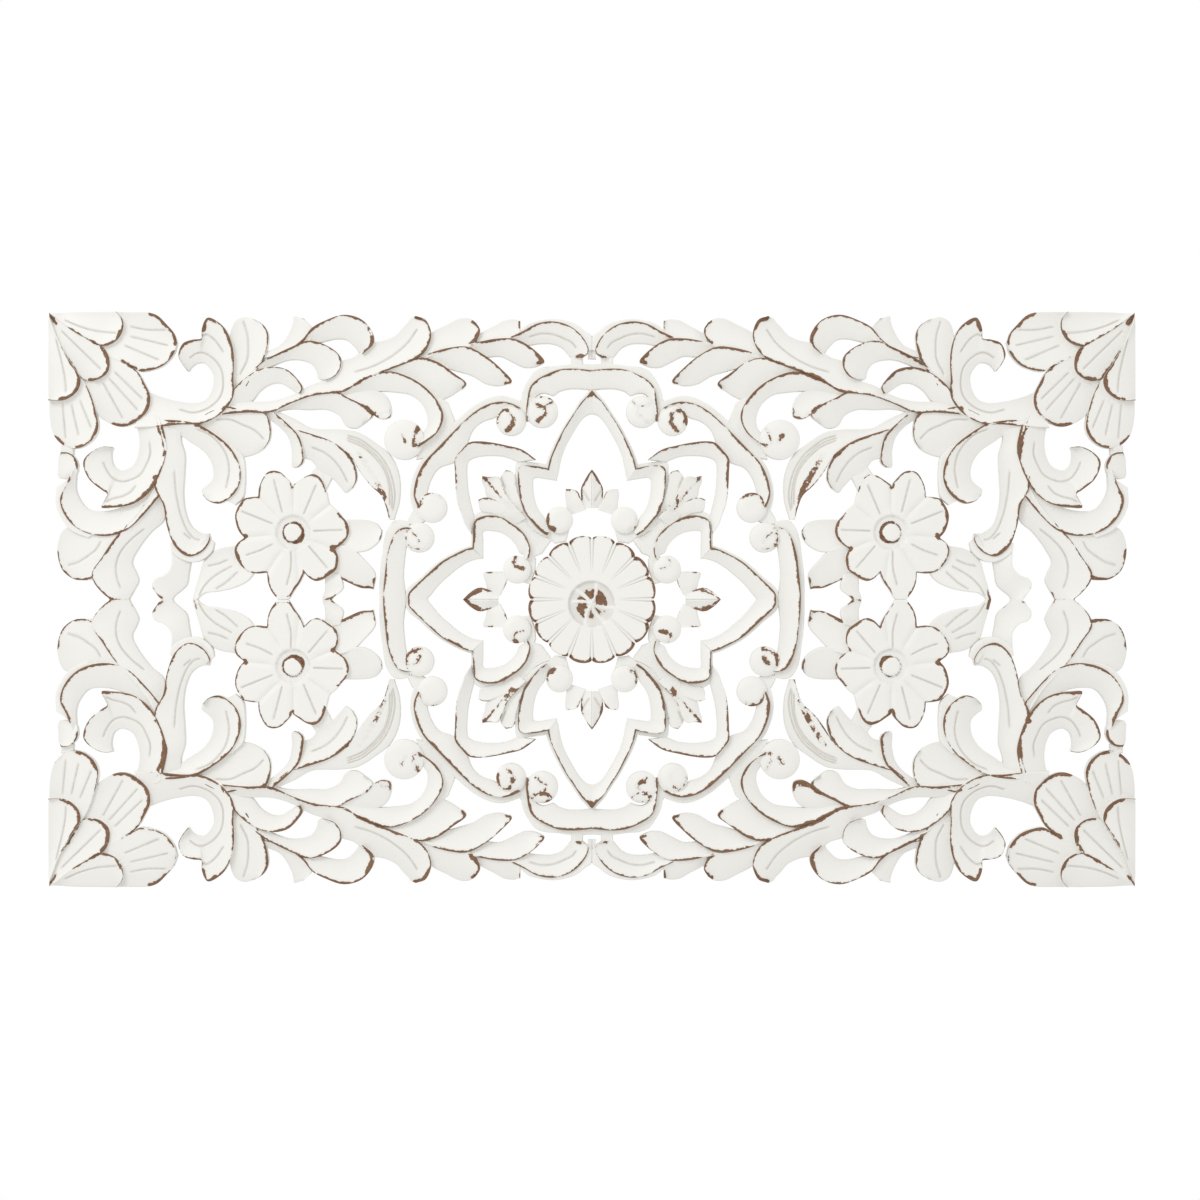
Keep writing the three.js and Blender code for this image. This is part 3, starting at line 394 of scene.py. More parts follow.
# The small palmettes inside the star
PALMETTE_LEAVES = (
    Leaf("palm_corner_a", "low", "thick", (
        (68, 88, 80, 86), (76, 115, 90, 110), (77, 124, 92, 119), (80, 128, 91, 124), (86, 129.5, 86, 129.5)
    ), veins=(((91, 122), (87, 112)),), rubbed="light"),
    Leaf("palm_corner_c", "low", "thick", (
        (78, 84, 88, 80), (90, 97, 100, 86), (100, 101, 110, 88), (108, 102, 112.5, 91),
        (113.5, 100, 113.5, 97)
    ), veins=(((107, 104), (92, 98)),), rubbed="light"),
    Leaf("palm_corner_b", "high", "thick", (
        (66, 82, 80, 72), (84, 102, 96, 92), (90, 116, 106, 104), (94, 123, 107.5, 112),
        (103, 122.5, 110, 118), (109.5, 123.5, 109.5, 123.5)
    ), worn=(((109, 123), (106, 120)),), thin=(((107, 121), (98, 111), (90, 101)),), scuffs=(
        ((89, 100), (80, 90)),
    ), rubbed="light"),
    Leaf("palm_top_a", "high", "thick", (
        (-1, 92, 10, 92), (-1, 110, 11, 111), (-1, 118, 8, 118), (-1, 125, 4, 125), (-1, 130, 0.5, 129.5)
    ), veins=(((10, 110), (3, 99)),), rubbed="foot"),
    Leaf("palm_top_b", "low", "thick", (
        (6, 90, 25, 84), (12, 103, 26, 97), (14, 108, 27, 105), (20, 110.5, 26, 110.5)
    ), rubbed="light", thin=(((26, 110), (22, 110)), ((15, 108), (12, 103)))),
    Leaf("palm_side_a", "high", "thick", (
        (94, -1, 94, 6), (104, -1, 104, 10), (113, -1, 113, 12), (122, -1, 122, 7), (129, -1, 128.5, 0.5)
    ), worn=(((127, 1), (119, 6), (112, 9)),), rubbed="foot"),
    Leaf("palm_side_b", "low", "thick", (
        (92, 4, 104, 6), (85, 19, 107, 19), (86, 27, 109, 26), (95, 28, 107, 28)
    ), rubbed="light", thin=(((106, 27), (100, 27)), ((87, 10), (86, 17)))),
)

# The frame and the star: each row is the place of the ledge, of the crest and of the inner edge
FRAME_BANDS = (
    Band("frame_arc_top", "high", (
        (-3, 235.5, -3, 229, -3, 209.5), (20, 236, 18, 231, 15, 211), (35, 234, 33, 230, 25, 210.5),
        (47, 233, 46, 225, 33, 208), (57, 229, 55, 220, 39, 204), (64, 220, 61, 214, 44, 206),
        (69, 210, 63.5, 207, 52, 206), (71, 198, 65, 198, 60, 198), (69, 188, 66, 188, 62, 188),
        (67, 178, 65, 178, 62, 180)
    )),
    Band("frame_arc_corner", "high", (
        (70, 198, 72, 192, 76, 188), (78, 201, 80, 196, 82, 190), (88, 204, 90, 198, 92, 186),
        (98, 203.5, 98, 197, 99, 181.5), (108, 200, 106, 194.5, 106, 179.5), (120, 193, 117, 188, 114, 175),
        (133, 182, 129, 177.5, 120, 168), (150, 166, 142, 164.5, 126, 153), (165, 147, 156, 150, 137, 138),
        (175, 133, 168, 137, 153, 131.5), (180, 120, 175, 123, 161, 120), (182, 108, 178, 110, 164.5, 109),
        (181, 97, 178, 103, 165, 103), (178, 87, 174, 92, 168, 95)
    )),
    Band("frame_arc_side", "high", (
        (184, 78, 182, 72, 178, 70), (192, 80, 188, 72, 182, 66), (199, 78, 194, 69.5, 184, 60),
        (205, 70, 198.5, 63.5, 185.5, 54), (208, 60, 202, 55, 186.5, 48), (210, 45, 205, 43, 187.7, 38),
        (212, 30, 207, 26, 188.7, 24), (213, 10, 208.5, 10, 187.5, 12), (213, -3, 209, -3, 185.5, -3)
    )),
)
STAR_BANDS = (
    Band("star_ogee_top", "full", (
        (-2, 210, -2, 206.5, -2, 185.7), (0, 212, 0, 209, 0, 186), (6, 206, 5, 203, 6, 184),
        (11.5, 200, 10, 198, 12, 178), (20, 187, 18, 186, 20, 165), (28, 175, 26, 174, 27, 152),
        (35, 162, 33, 161, 31, 140), (40.5, 151, 38, 150, 34, 125), (44, 142, 42, 140, 35, 122),
        (46.5, 134, 44, 131, 35, 119)
    ), worn=(((0, 208), (5, 202)), ((0, 210), (0, 204)))),
    Band("star_ear_top", "full", (
        (47, 136, 44, 131, 35, 119), (60, 137.5, 57, 133.5, 47, 121), (75, 138.5, 72, 132.5, 58, 121.5),
        (77, 125, 74, 120, 59, 113), (77, 115, 73, 110, 58, 104), (74, 98, 71, 98, 56, 96),
        (69, 82, 67, 87, 52, 88), (62, 73, 61, 79, 47.5, 82), (52, 65, 52, 69, 44, 72),
        (45, 62, 45, 64, 42, 68)
    )),
    Band("star_lobe", "full", (
        (121, 66, 121, 66, 119, 76), (127, 75, 127, 75, 118, 83), (130, 84, 130, 84, 119, 87),
        (134, 95, 134, 95, 121.5, 97), (136, 108, 136, 108, 124, 110), (137, 128, 137, 128, 125, 123),
        (137, 141, 137, 141, 125, 133), (131, 149, 131, 149, 124, 138), (123, 157, 123, 157, 120, 141),
        (113, 158.3, 113, 158.3, 113, 143), (100, 157, 100, 157, 103, 144), (85, 154, 85, 154, 88, 143),
        (70, 150, 70, 150, 77, 139), (56, 140, 56, 140, 75, 138)
    ), worn=(((117, 158), (125, 157), (129, 151)),), clean=75),
    Band("star_ogee_side", "full", (
        (187.5, -3, 184, -3, 163, -3), (187.5, 0, 184, 0, 165, 0), (187, 6, 183.5, 6, 161, 5),
        (184, 12, 178, 12.5, 156, 11.5), (172, 22, 170, 20, 150, 18), (162, 31.5, 160, 29.5, 143, 24),
        (152, 39.5, 150, 38, 136, 30), (139, 47, 137, 45.2, 126, 36.5), (128, 52, 127, 50, 117, 40),
        (121, 54, 120, 52, 109, 41)
    )),
    Band("star_ear_side", "full", (
        (121, 52, 119.5, 52, 109, 41), (121, 60, 119, 60, 109, 50), (121, 70, 118.5, 70, 109, 59),
        (120, 82, 117, 79, 109, 68), (109, 89.5, 110, 83, 101, 68.7), (98, 90, 100, 84, 92, 67),
        (88, 88, 90, 82, 86, 64), (78, 84, 80, 76, 80, 59), (70, 78, 71, 69, 75.5, 53),
        (66, 72, 64.5, 60, 73, 47), (60, 58, 61.5, 50, 68, 44), (61, 47, 63, 42, 67, 40)
    ), worn=(((119, 80), (118.5, 70), (119, 62)),)),
)

# Low ledges outside the crescent, the hooked leaf, the dolphin leaf and the arch: both edges of each
LEDGES = (
    ((536, 112, 524, 120), (536.5, 95, 526, 100), (531.5, 82, 520, 86), (521, 69, 508, 74),
     (505, 62, 490, 70)),
    ((360, 154, 368, 154), (349, 143, 360, 143), (347, 130, 358, 130), (347, 115, 358, 115),
     (349, 102, 362, 108), (357, 94.5, 368, 100)),
    ((422, 56, 414, 60), (420, 47, 412, 54), (403, 37.5, 402, 50), (391, 39, 394, 52), (380, 48, 390, 58),
     (378, 57, 386, 64)),
    ((73, 268, 66, 264), (64, 276, 60, 268), (50, 280, 50, 272), (38, 281, 38, 273), (25, 279, 27, 269),
     (15, 275, 19, 265), (6, 268, 12, 260), (-1, 263, 8, 252), (-1, 250, 9, 247)),
)

# Low webs that tie neighbouring parts together
WEBS = (
    ((62, 178), (72, 180), (72, 200), (64, 206)),
    ((164, 80), (174, 74), (186, 76), (180, 88), (172, 94)),
    ((47, 64), (37, 56), (26, 58), (22, 72), (33, 84), (44, 76)),
    ((63, 54), (56, 40), (57, 28), (62, 15), (72, 18), (75, 32), (66, 46)),
    ((9, 232), (21, 232), (21, 246), (9, 246)),
    ((-2, 241), (4, 241), (4, 264), (-2, 264)),
    ((74, 86), (60, 70), (50, 64), (40, 60), (50, 46), (60, 42), (64, 56)),
    ((257, 128), (272, 138), (281, 126), (276, 116), (266, 110)),
    ((156, 206), (144, 197), (137, 179), (148, 160), (165, 142), (176, 140), (172, 156), (156, 170),
     (150, 184)),
    ((519, 145), (532, 145), (532, 154), (519, 154)),
)

# Flower: outlines of its seven petals from crease to crease, and their veins. Its radii are in cells.
FLOWER_PLACE = (299, 67)
PETALS = (
    ((334, 103), (333, 112), (330, 120), (325, 127), (319, 129), (312, 127.5), (306, 122), (301, 116),
     (300, 112)),
    ((299, 115), (293, 119), (285, 124), (278, 125.5), (272, 122), (268, 115), (265, 105), (263.5, 98)),
    ((262, 95), (256, 90), (250, 83), (245, 77), (243, 68), (246, 60), (251, 55), (257, 51)),
    ((257, 50), (254, 43), (254, 37), (256, 30), (262, 25), (270, 20), (276, 18.5), (282, 21), (288, 27)),
    ((293, 16), (298, 9), (303, 1), (308, -3), (312, -3), (316, 2), (321, 9), (324, 17), (325, 26)),
    ((325, 27), (335, 26), (344, 28), (351, 34), (356, 42), (357.5, 50), (355, 56), (349, 61)),
    ((348, 62), (353, 68), (356, 76), (357, 84), (355, 91), (352, 96), (348, 101), (344, 102)),
)
PETAL_VEINS = (
    ((318, 119), (310, 88)), ((276, 114), (288, 86)), ((278, 68.5), (250, 69.5)), ((283, 53), (265, 32)),
    ((301, 48), (301, 32), (305, 15)), ((320, 55), (332, 49), (345, 44.5)), ((350, 88), (330, 80), (320, 76)),
)
FLOWER_KNOTS = (((301, 116), (300, 112)), ((348, 62), (346, 63)), ((257, 50), (259, 51)))
FLOWER_UNTOUCHED = (((265, 102), (256, 91)),)
FLOWER_SECTORS = 288
FLOWER_RINGS = 38
FLOWER_HEART = 18
BUTTON_RADIUS = 10
PETAL_DROP = 0.6 * MM
CREASE_DEPTH = 1.6 * MM
CREASE_WIDTH = 7 * MM
CREASE_RUN = 12 * MM
# Painted shade along each crease, its width and strength, and painted shade in the dished heart
CREASE_LINE = 1.6 * MM
CREASE_SHADE = 0.2
HEART_WALL = 3 * MM
HEART_SHADE = 0.06
BUTTON_DROP = 1.5 * MM
BUTTON_POWER = 8

# How clean the flower's edges are: its rim, beside the middle line and its leaf, and round its button
PETAL_CLEAN = 0.7 * MM
SHELTERED_CLEAN = 8 * MM
MIDDLE_LINE_REACH = 3 * MM
SIDE_LEAF_REACH = 5 * MM
BUTTON_SPREAD = 1.5
BUTTON_CLEAN = 0.9 * MM
BUTTON_LOW_RUB = 2.6 * MM
BUTTON_LOW_POWER = 4
KNOT_RUB = 0.6 * MM

# Rosette: sixteen petals round a dish with a knob of six ribs. Its places and radii are in cells.
ROSETTE_RADIUS = 64.5
ROSETTE_NOTCH = 60.5
ROSETTE_PETALS = 16
ROSETTE_TURN = 2 * math.pi / ROSETTE_PETALS
SECTORS_A_PETAL = 36
ROSETTE_SECTORS = SECTORS_A_PETAL * ROSETTE_PETALS
ROSETTE_RINGS = 56
ROSETTE_DROP = 1.5 * MM
ROSETTE_RISE = 1.0 * MM
GROOVE_START = 27
GROOVE_ASIDE = 0.7 * MM
GROOVE_SPREAD = 1.4 * MM
GROOVE_WIDTH = 0.9 * MM
GROOVE_DEPTH = 1.5 * MM
# Painted shade in the grooves beside the notches
GROOVE_SHADE = 0.7
DISH_PLACE = (-0.5, -4.5)
DISH_RADIUS = 23.5
DISH_WALL = 2.5
# Painted shade in the dish between the ribs
DISH_SHADE = 0.4
KNOB_RADIUS = 15
KNOB_HEIGHT = 3.0 * MM
RIB_ENDS = ((5, 15.5), (-16, 9.5), (-19, -2.5), (-6, -28.5), (13, -23.5), (21, -8.5))
RIB_BEND = 0.08
RIB_HEIGHT = 2.4 * MM
RIB_WIDTH = 2.4 * MM
RIB_POWER = 0.7
RIB_FALL = 0.6
BESIDE_RIB = 3 * MM
BESIDE_RIB_START = 0.4

# How clean the rosette's rim is, with waves of a depth, count and start round it, and how clean its knob
RIM_CLEAN = 1.1 * MM
RIM_WAVES = ((0.8 * MM, 1, 2.4), (1.0 * MM, 5, math.pi / 2 - 1))
CORNER_RUB = 2.5 * MM
CORNER_REACH = 7 * MM
NOTCH_CLEAN = 4 * MM
NOTCH_REACH = 1.2 * MM
KNOB_RING = 10.5
KNOB_RING_REACH = 4.5
KNOB_CLEAN = 1.7 * MM

# The finish. Noise runs from about 0.3 to 0.7, round this middle.
NOISE_MIDDLE = 0.5

# The rubbed width wanders with three noises: the grain and detail of each, and how far it moves the width
WEAR_WANDER = ((28 * MM, 1.0, 6 * MM), (5 * MM, 3.0, 4.5 * MM), (1.6 * MM, 2.0, 1.5 * MM))

# Patches of noise: it is made starker by the contrast and thinned out by the drop
Patches = namedtuple("Patches", "grain detail contrast drop strength stretch", defaults=(None,))
FLECKS = Patches(2.2 * MM, 4.0, 50, 36.75, 0.55)
CLOUDS = Patches(60 * MM, 3.0, 1.6, 0.3, 0.35)
STREAKS = Patches(2.5 * MM, 3.0, 2.4, 0.7, 1, (0.35, 1, 1.6))

# The edge between paint and wood, thin paint beside it, grey of dust and painted shade, sheen and bumps.
# A noise is its grain and detail.
BARE_EDGE = 0.22 * MM
EDGE_MIDDLE = 0.5
THIN_REACH = 2.2 * MM
THIN_START = 0.9
THIN_STRENGTH = 0.22
DUST_AND_SHADE_TINT = 0.75
PAINT_ROUGHNESS = 0.52
WOOD_ROUGHER = 0.2
SHEEN = (9 * MM, 2.0)
SHEEN_SPREAD = 0.12
BRUSH = (1.4 * MM, 3.0, (0.4, 1, 1))
BRUSH_DEPTH = 0.06
SWELL = (14 * MM, 2.0)
SWELL_DEPTH = 0.25
PAINT_DEPTH = 0.12
BUMP_STRENGTH = 0.5
PAINT_IOR = 1.45

# The sockets of a Mix node that are used when it mixes colours
MIX_SHARE = 0
MIX_FIRST = 6
MIX_SECOND = 7
MIX_RESULT = 2

# The floor, a disc with a small eye in its middle, and the light
FLOOR_RADIUS = 1.2
FLOOR_THICKNESS = 0.01
FLOOR_EYE = 0.02
FLOOR_SECTORS = 96
FLOOR_RINGS = 12
FLOOR_SHADE = 0.94
FLOOR_ROUGHNESS = 0.7
FLOOR_CLOUDS = Patches(0.2, 2.0, 0.3, -0.35, 1)
KEY_PLACE = (-2.2, -3.2, 2.6)
KEY_SIZE = 2.0

# The photograph in pixels: its width and height, and the column and row of the panel's middle
PHOTO_SIZE = 1200
MIDDLE_COLUMN = 592
MIDDLE_ROW = 599.5


def curve_through(places, steps=CURVE_STEPS):
    """Points on a smooth line through some places.

    Between two places it is the cubic whose slopes at both ends follow from the places before and after,
    spaced by the square roots of their distances.
    """
    places = np.asarray(places, float)
    before = 2 * places[0] - places[1]
    after = 2 * places[-1] - places[-2]
    line = np.vstack([before, places, after])
    gap = np.sqrt(np.linalg.norm(np.diff(line, axis=0), axis=1))[:, None]
    gap1 = np.maximum(gap[1:-1], SMALLEST_GAP)
    gap0 = np.where(gap[:-2] < SMALLEST_GAP, gap1, gap[:-2])
    gap2 = np.where(gap[2:] < SMALLEST_GAP, gap1, gap[2:])
    p0, p1, p2, p3 = line[:-3], line[1:-2], line[2:-1], line[3:]
    slope1 = ((p1 - p0) / gap0 - (p2 - p0) / (gap0 + gap1) + (p2 - p1) / gap1) * gap1
    slope2 = ((p2 - p1) / gap1 - (p3 - p1) / (gap1 + gap2) + (p3 - p2) / gap2) * gap1
    square = -3 * p1 + 3 * p2 - 2 * slope1 - slope2
    cube = 2 * p1 - 2 * p2 + slope1 + slope2
    share = (np.arange(steps) / steps)[None, :, None]
    spans = p1[:, None] + share * (slope1[:, None] + share * (square[:, None] + share * cube[:, None]))
    return np.vstack([spans.reshape(-1, 2), places[-1:]])


def smooth(share):
    """A soft step from 0 to 1: three times the square less twice the cube of the share, held in 0 to 1."""
    share = np.clip(share, 0, 1)
    return share * share * (3 - 2 * share)


def nearness(distance, reach):
    """How near a thing is: 1 at no distance, falling evenly to 0 at its reach."""
    return np.clip(1 - distance / reach, 0, 1)


def distance_to(lines, points):
    """Distance of each point from the nearest of some lines of places, through which curves are drawn.

    Each curve is short straight stretches. The distance from one is the length of what is left of the way
    from its start to the point, less its own share of that way, held between its two ends.
    """
    nearest = np.full(points.shape[:-1], FAR_FROM_WEAR)
    for line in lines:
        path = curve_through(line, MARK_STEPS)
        along = np.diff(path, axis=0)
        offset = points[..., None, :] - path[:-1]
        square = np.maximum((along**2).sum(-1), SMALLEST_SQUARE)
        share = np.clip((offset * along).sum(-1) / square, 0, 1)
        gap = offset - share[..., None] * along
        nearest = np.minimum(nearest, np.sqrt((gap**2).sum(-1)).min(-1))
    return nearest


def cell_size(shape):
    """Length and height of one cell of the pattern's grid."""
    return np.array([shape.length / GRID_COLUMNS, shape.height / GRID_ROWS])


def distance_to_marks(lines, points, shape):
    """Distance of each point on the board from the nearest of some lines drawn on the grid."""
    return distance_to([np.asarray(line, float) * cell_size(shape) for line in lines], points)


def inside_quarter(*edges):
    """Edges of a strip cut off at both middle lines of the board.

    Rows that reach into the quarter stay, with one row beyond them. What lies past a line is drawn onto it.
    """
    reach = np.max(edges, axis=0)
    inside = (reach > 0).all(axis=1)
    kept = inside.copy()
    kept[1:] |= inside[:-1]
    kept[:-1] |= inside[1:]
    return [np.maximum(edge[kept], 0) for edge in edges]


def placed_rows(edges, step):
    """The same edges with rows about one step of travel apart, and closer together towards a closed tip.

    Towards such a tip, the way left at each row is a power of its even share.
    """
    moves = [np.linalg.norm(np.diff(edge, axis=0), axis=1) for edge in edges]
    travel = np.concatenate([[0], np.cumsum(np.max(moves, axis=0))])
    count = max(FEWEST_ROWS, math.ceil(travel[-1] / step))
    closed = np.ptp([edge[-1] for edge in edges], axis=0).max() <= SMALLEST_WIDTH
    stops = travel[-1] * (1 - np.linspace(1, 0, count + 1) ** (TIP_GATHER if closed else 1))
    rows = [np.stack([np.interp(stops, travel, edge[:, k]) for k in (0, 1)], axis=1) for edge in edges]
    return rows, stops


def across_strip(crest, foot):
    """Middle, direction and width of each row, with the direction carried on into a closed tip."""
    gap = foot - crest
    width = np.linalg.norm(gap, axis=1)
    wide = width > SMALLEST_WIDTH
    last_wide = np.maximum.accumulate(np.where(wide, np.arange(len(width)), 0))
    last_wide = np.maximum(last_wide, np.argmax(wide))
    direction = gap[last_wide] / width[last_wide][:, None]
    return (crest + foot) / 2, direction, np.maximum(width, SMALLEST_WIDTH)


def profile(width, high, low, share, arris):
    """Distances from the crest edge and heights along the profile of each row of a strip.

    It goes up the wall, round the arris of the crest, down a scooped face to the foot, round its arris and
    down to the back. The face falls from the crest by the scoop power of the share of the way across.
    """
    inset = 1 - np.cos(ARRIS_TURN)
    drop = 1 - np.sin(ARRIS_TURN)
    face = arris + (width - 2 * arris) * share
    scooped = high - (high - low) * (1 - (1 - share) ** SCOOP)
    side = np.hstack([0 * arris, arris * inset, face, width - arris * inset[::-1], width])
    height = np.hstack([0 * arris, high - arris * drop, scooped, low - arris * drop[::-1], 0 * arris])
    return side, height


def strip_wear(leaf, side, height, width, high, low, travel, shape):
    """Distance of each point of a strip from what is rubbed, before its own worn lines and scuffs.

    It is the smaller of the distances from both edges, each with what its kind of rubbing adds. It falls
    towards a closed tip and grows towards the root.
    """
    at_crest, at_foot = RUBBED[leaf.rubbed]
    has_tip = width[-1] <= SMALLEST_WIDTH
    near_tip = has_tip * smooth(1 - (travel[-1] - travel) / TIP_LENGTH)[:, None]
    wall = np.maximum(high - height, 0) * (side < shape.arris)
    from_crest = np.hypot(side, WALL_GUARD * wall) + at_crest - TIP_RUB * near_tip
    from_foot = width - side + WALL_GUARD * np.maximum(low - height, 0) + at_foot * (1 - near_tip)
    root = ROOT_CLEAN * (1 - smooth(travel / max(leaf.clean * MM, MM)))[:, None] * (leaf.clean > 0)
    return np.minimum(from_crest, from_foot) + root


def rubbed_marks(worn, leaf, place, shape):
    """Wear with a part's own marks taken in: broad lines, thin lines, and scuffs worn through in specks.

    It is the least of the wear so far, the distance from a broad line, that from a thin line and a little
    more, and the scuff level, which grows by the distance past a scuff's reach.
    """
    line = distance_to_marks(leaf.worn, place, shape)
    thin = distance_to_marks(leaf.thin, place, shape) + THIN_LINE
    scuff = SCUFF_LEVEL + np.maximum(distance_to_marks(leaf.scuffs, place, shape) - SCUFF_REACH, 0)
    return np.minimum(worn, np.minimum(np.minimum(line, thin), scuff))


def strip_shell(crest, foot, levels, shape, leaf=PLAIN, step=None):
    """A strip of carving as a closed shell: its profile, fitted to each row between crest and foot.

    Each row's distances are laid off from the crest towards the foot. Its heights sink at the root by a soft
    step of the travel, its foot comes up where it narrows, and veins cut it by their depth times nearness.
    """
    step = step or shape.step
    crest, foot = inside_quarter(crest, foot)
    (crest, foot), travel = placed_rows([crest, foot], ROW_STRETCH * step)
    middle, direction, width = across_strip(crest, foot)
    columns = max(FEWEST_COLUMNS, math.ceil(width.max() / step))
    share = np.linspace(0, 1, columns + 1)[1:-1]
    width = width[:, None]
    sink = leaf.dip * MM * (1 - smooth(travel / max(leaf.clean * MM, MM)))[:, None]
    high = levels[0] - sink
    low = high - (levels[0] - levels[1]) * smooth(width / TIP_WIDTH)
    side, height = profile(width, high, low, share, np.minimum(shape.arris, WIDEST_ARRIS * width))

    place = middle[:, None] + direction[:, None] * (side - width / 2)[..., None]
    front = height > 0
    groove = nearness(distance_to_marks(leaf.veins, place, shape), shape.vein_width) * front
    worn = strip_wear(leaf, side, height, width, high, low, travel, shape)
    worn = np.where(front, rubbed_marks(worn, leaf, place, shape), FAR_FROM_WEAR)
    # Dust and painted shade in the vein grooves, and painted shade growing towards the foot where the face
    # dives under its neighbour
    hollow = np.maximum(groove, SHADE_AT_FOOT * (side / width) ** SHADE_POWER * front)
    place = np.clip(place, 0, [shape.length / 2, shape.height / 2])
    points = np.stack([place[..., 0], shape.vein_depth * groove - height, place[..., 1]], axis=-1)
    return Shell(points, worn, hollow)


def edges_of(rungs, shape):
    """The smooth edges through the rungs of a strip, on the board."""
    rungs = np.asarray(rungs, float)
    return [curve_through(rungs[:, k:k + 2]) * cell_size(shape) for k in range(0, rungs.shape[1], 2)]


def levels_of(part, foot, shape):
    """Thickness of a leaf or band at its crest and at its foot."""
    high, low = getattr(shape, "crest_" + part.crest), getattr(shape, "foot_" + foot)
    if high < low:
        raise ValueError("the foot of " + part.name + " is thicker than its crest")
    return high, low


def leaf_shell(leaf, shape):
    """A leaf or scroll between its crest and its foot, with its veins cut in."""
    crest, foot = edges_of(leaf.rungs, shape)
    step = shape.step if leaf.veins else PLAIN_STEP * shape.step
    return strip_shell(crest, foot, levels_of(leaf, leaf.foot, shape), shape, leaf, step)


def band_shells(band, shape):
    """A band of the frame or star: the band itself, and the low ledge outside its crest."""
    ledge, crest, inner = edges_of(band.rungs, shape)
    marks = PLAIN._replace(worn=band.worn, clean=band.clean)
    levels = levels_of(band, "thick", shape)
    shells = [strip_shell(crest, inner, levels, shape, marks, BAND_STEP * shape.step)]
    if np.linalg.norm(ledge - crest, axis=1).max() > SMALLEST_WIDTH:
        shells.append(low_strip(ledge, crest, shape.ledge, shape))
    return shells


def low_strip(outer, inner, level, shape):
    """A flat ledge between two edges."""
    return strip_shell(outer, inner, (level, level), shape, BARE_OF_WEAR, LEDGE_STEP * shape.step)


def web_shell(places, shape):
    """A low flat web: its outline carried up from the back, in by the arris and over the top."""
    outline = np.maximum(np.asarray(places, float) * cell_size(shape), 0)
    centre = outline.mean(axis=0)
    spokes = outline - centre
    inner = centre + spokes * (1 - shape.arris / np.linalg.norm(spokes, axis=1, keepdims=True))
    rings = ((outline, 0), (outline, shape.web - shape.arris), (inner, shape.web))
    points = np.stack([np.insert(ring, 1, -height, axis=1) for ring, height in rings])
    far = np.full(points.shape[:2], FAR_FROM_WEAR)
    return Shell(points, far, 0 * far)


def round_shell(centre, radius, height, worn, hollow, shape, rings):
    """A round body as a closed shell, from the middle out over its rim and down to the back.

    radius holds the reach of each sector on the board, and height, worn and the grey of dust and painted
    shade are functions of the place on the board and the share of the way out. A ring lies at its share of
    the radius less the arris, and the rim turns over on a quarter circle of the arris.
    """
    sectors = len(radius)
    angle = np.arange(sectors) * (2 * math.pi / sectors)
    ray = np.stack([np.cos(angle), np.sin(angle)], axis=-1)
    share = np.linspace(ROUND_EYE, 1, rings)[:, None]
    turn = ARRIS_TURN[1:, None]
    top_reach = share * (radius - shape.arris)
    rim_reach = radius - shape.arris * (1 - np.sin(turn))
    place = centre + np.concatenate([top_reach, rim_reach, radius[None]])[..., None] * ray
    on_top = place[:rings]
    top = height(on_top, share)
    rim = top[-1] - shape.arris * (1 - np.cos(turn))
    wall = np.concatenate([rim, np.zeros((1, sectors))])
    wear = worn(on_top, share)
    wear = np.concatenate([wear, wear[-1] + WALL_GUARD * (rim[0] - wall)])
    # Dust and painted shade on the top, none down the rim and wall
    painted_darkening = np.concatenate([hollow(on_top, share), 0 * wall])
    points = np.stack([place[..., 0], -np.concatenate([top, wall]), place[..., 1]], axis=-1)
    return Shell(points, wear, painted_darkening)


def ball_shell(ball, shape):
    """A flat dome: it falls from its top by the ball power of the share of the way out."""
    centre = np.array(ball.place) * cell_size(shape)
    radius = np.full(BALL_SECTORS, ball.radius * cell_size(shape)[0])
    marks = PLAIN._replace(thin=ball.scuffs, scuffs=ball.scuffs)

    def height(place, share):
        return shape.ball_top - shape.ball_drop * share**BALL_POWER + 0 * place[..., 0]

    def worn(place, share):
        return rubbed_marks(FAR_FROM_WEAR, marks, place, shape)

    def hollow(place, share):
        return 0 * place[..., 0]

    return round_shell(centre, radius, height, worn, hollow, shape, BALL_RINGS)


def outline_reach(outline, centre, sectors):
    """Reach of an outline from a centre in even directions: its distance, evenly between its own angles."""
    offset = outline - centre
    angle = np.unwrap(np.arctan2(offset[:, 1], offset[:, 0]))
    order = np.argsort(angle)
    around = np.arange(sectors) * (2 * math.pi / sectors)
    reach = np.linalg.norm(offset, axis=1)[order]
    return np.interp(around, angle[order], reach, period=2 * math.pi)


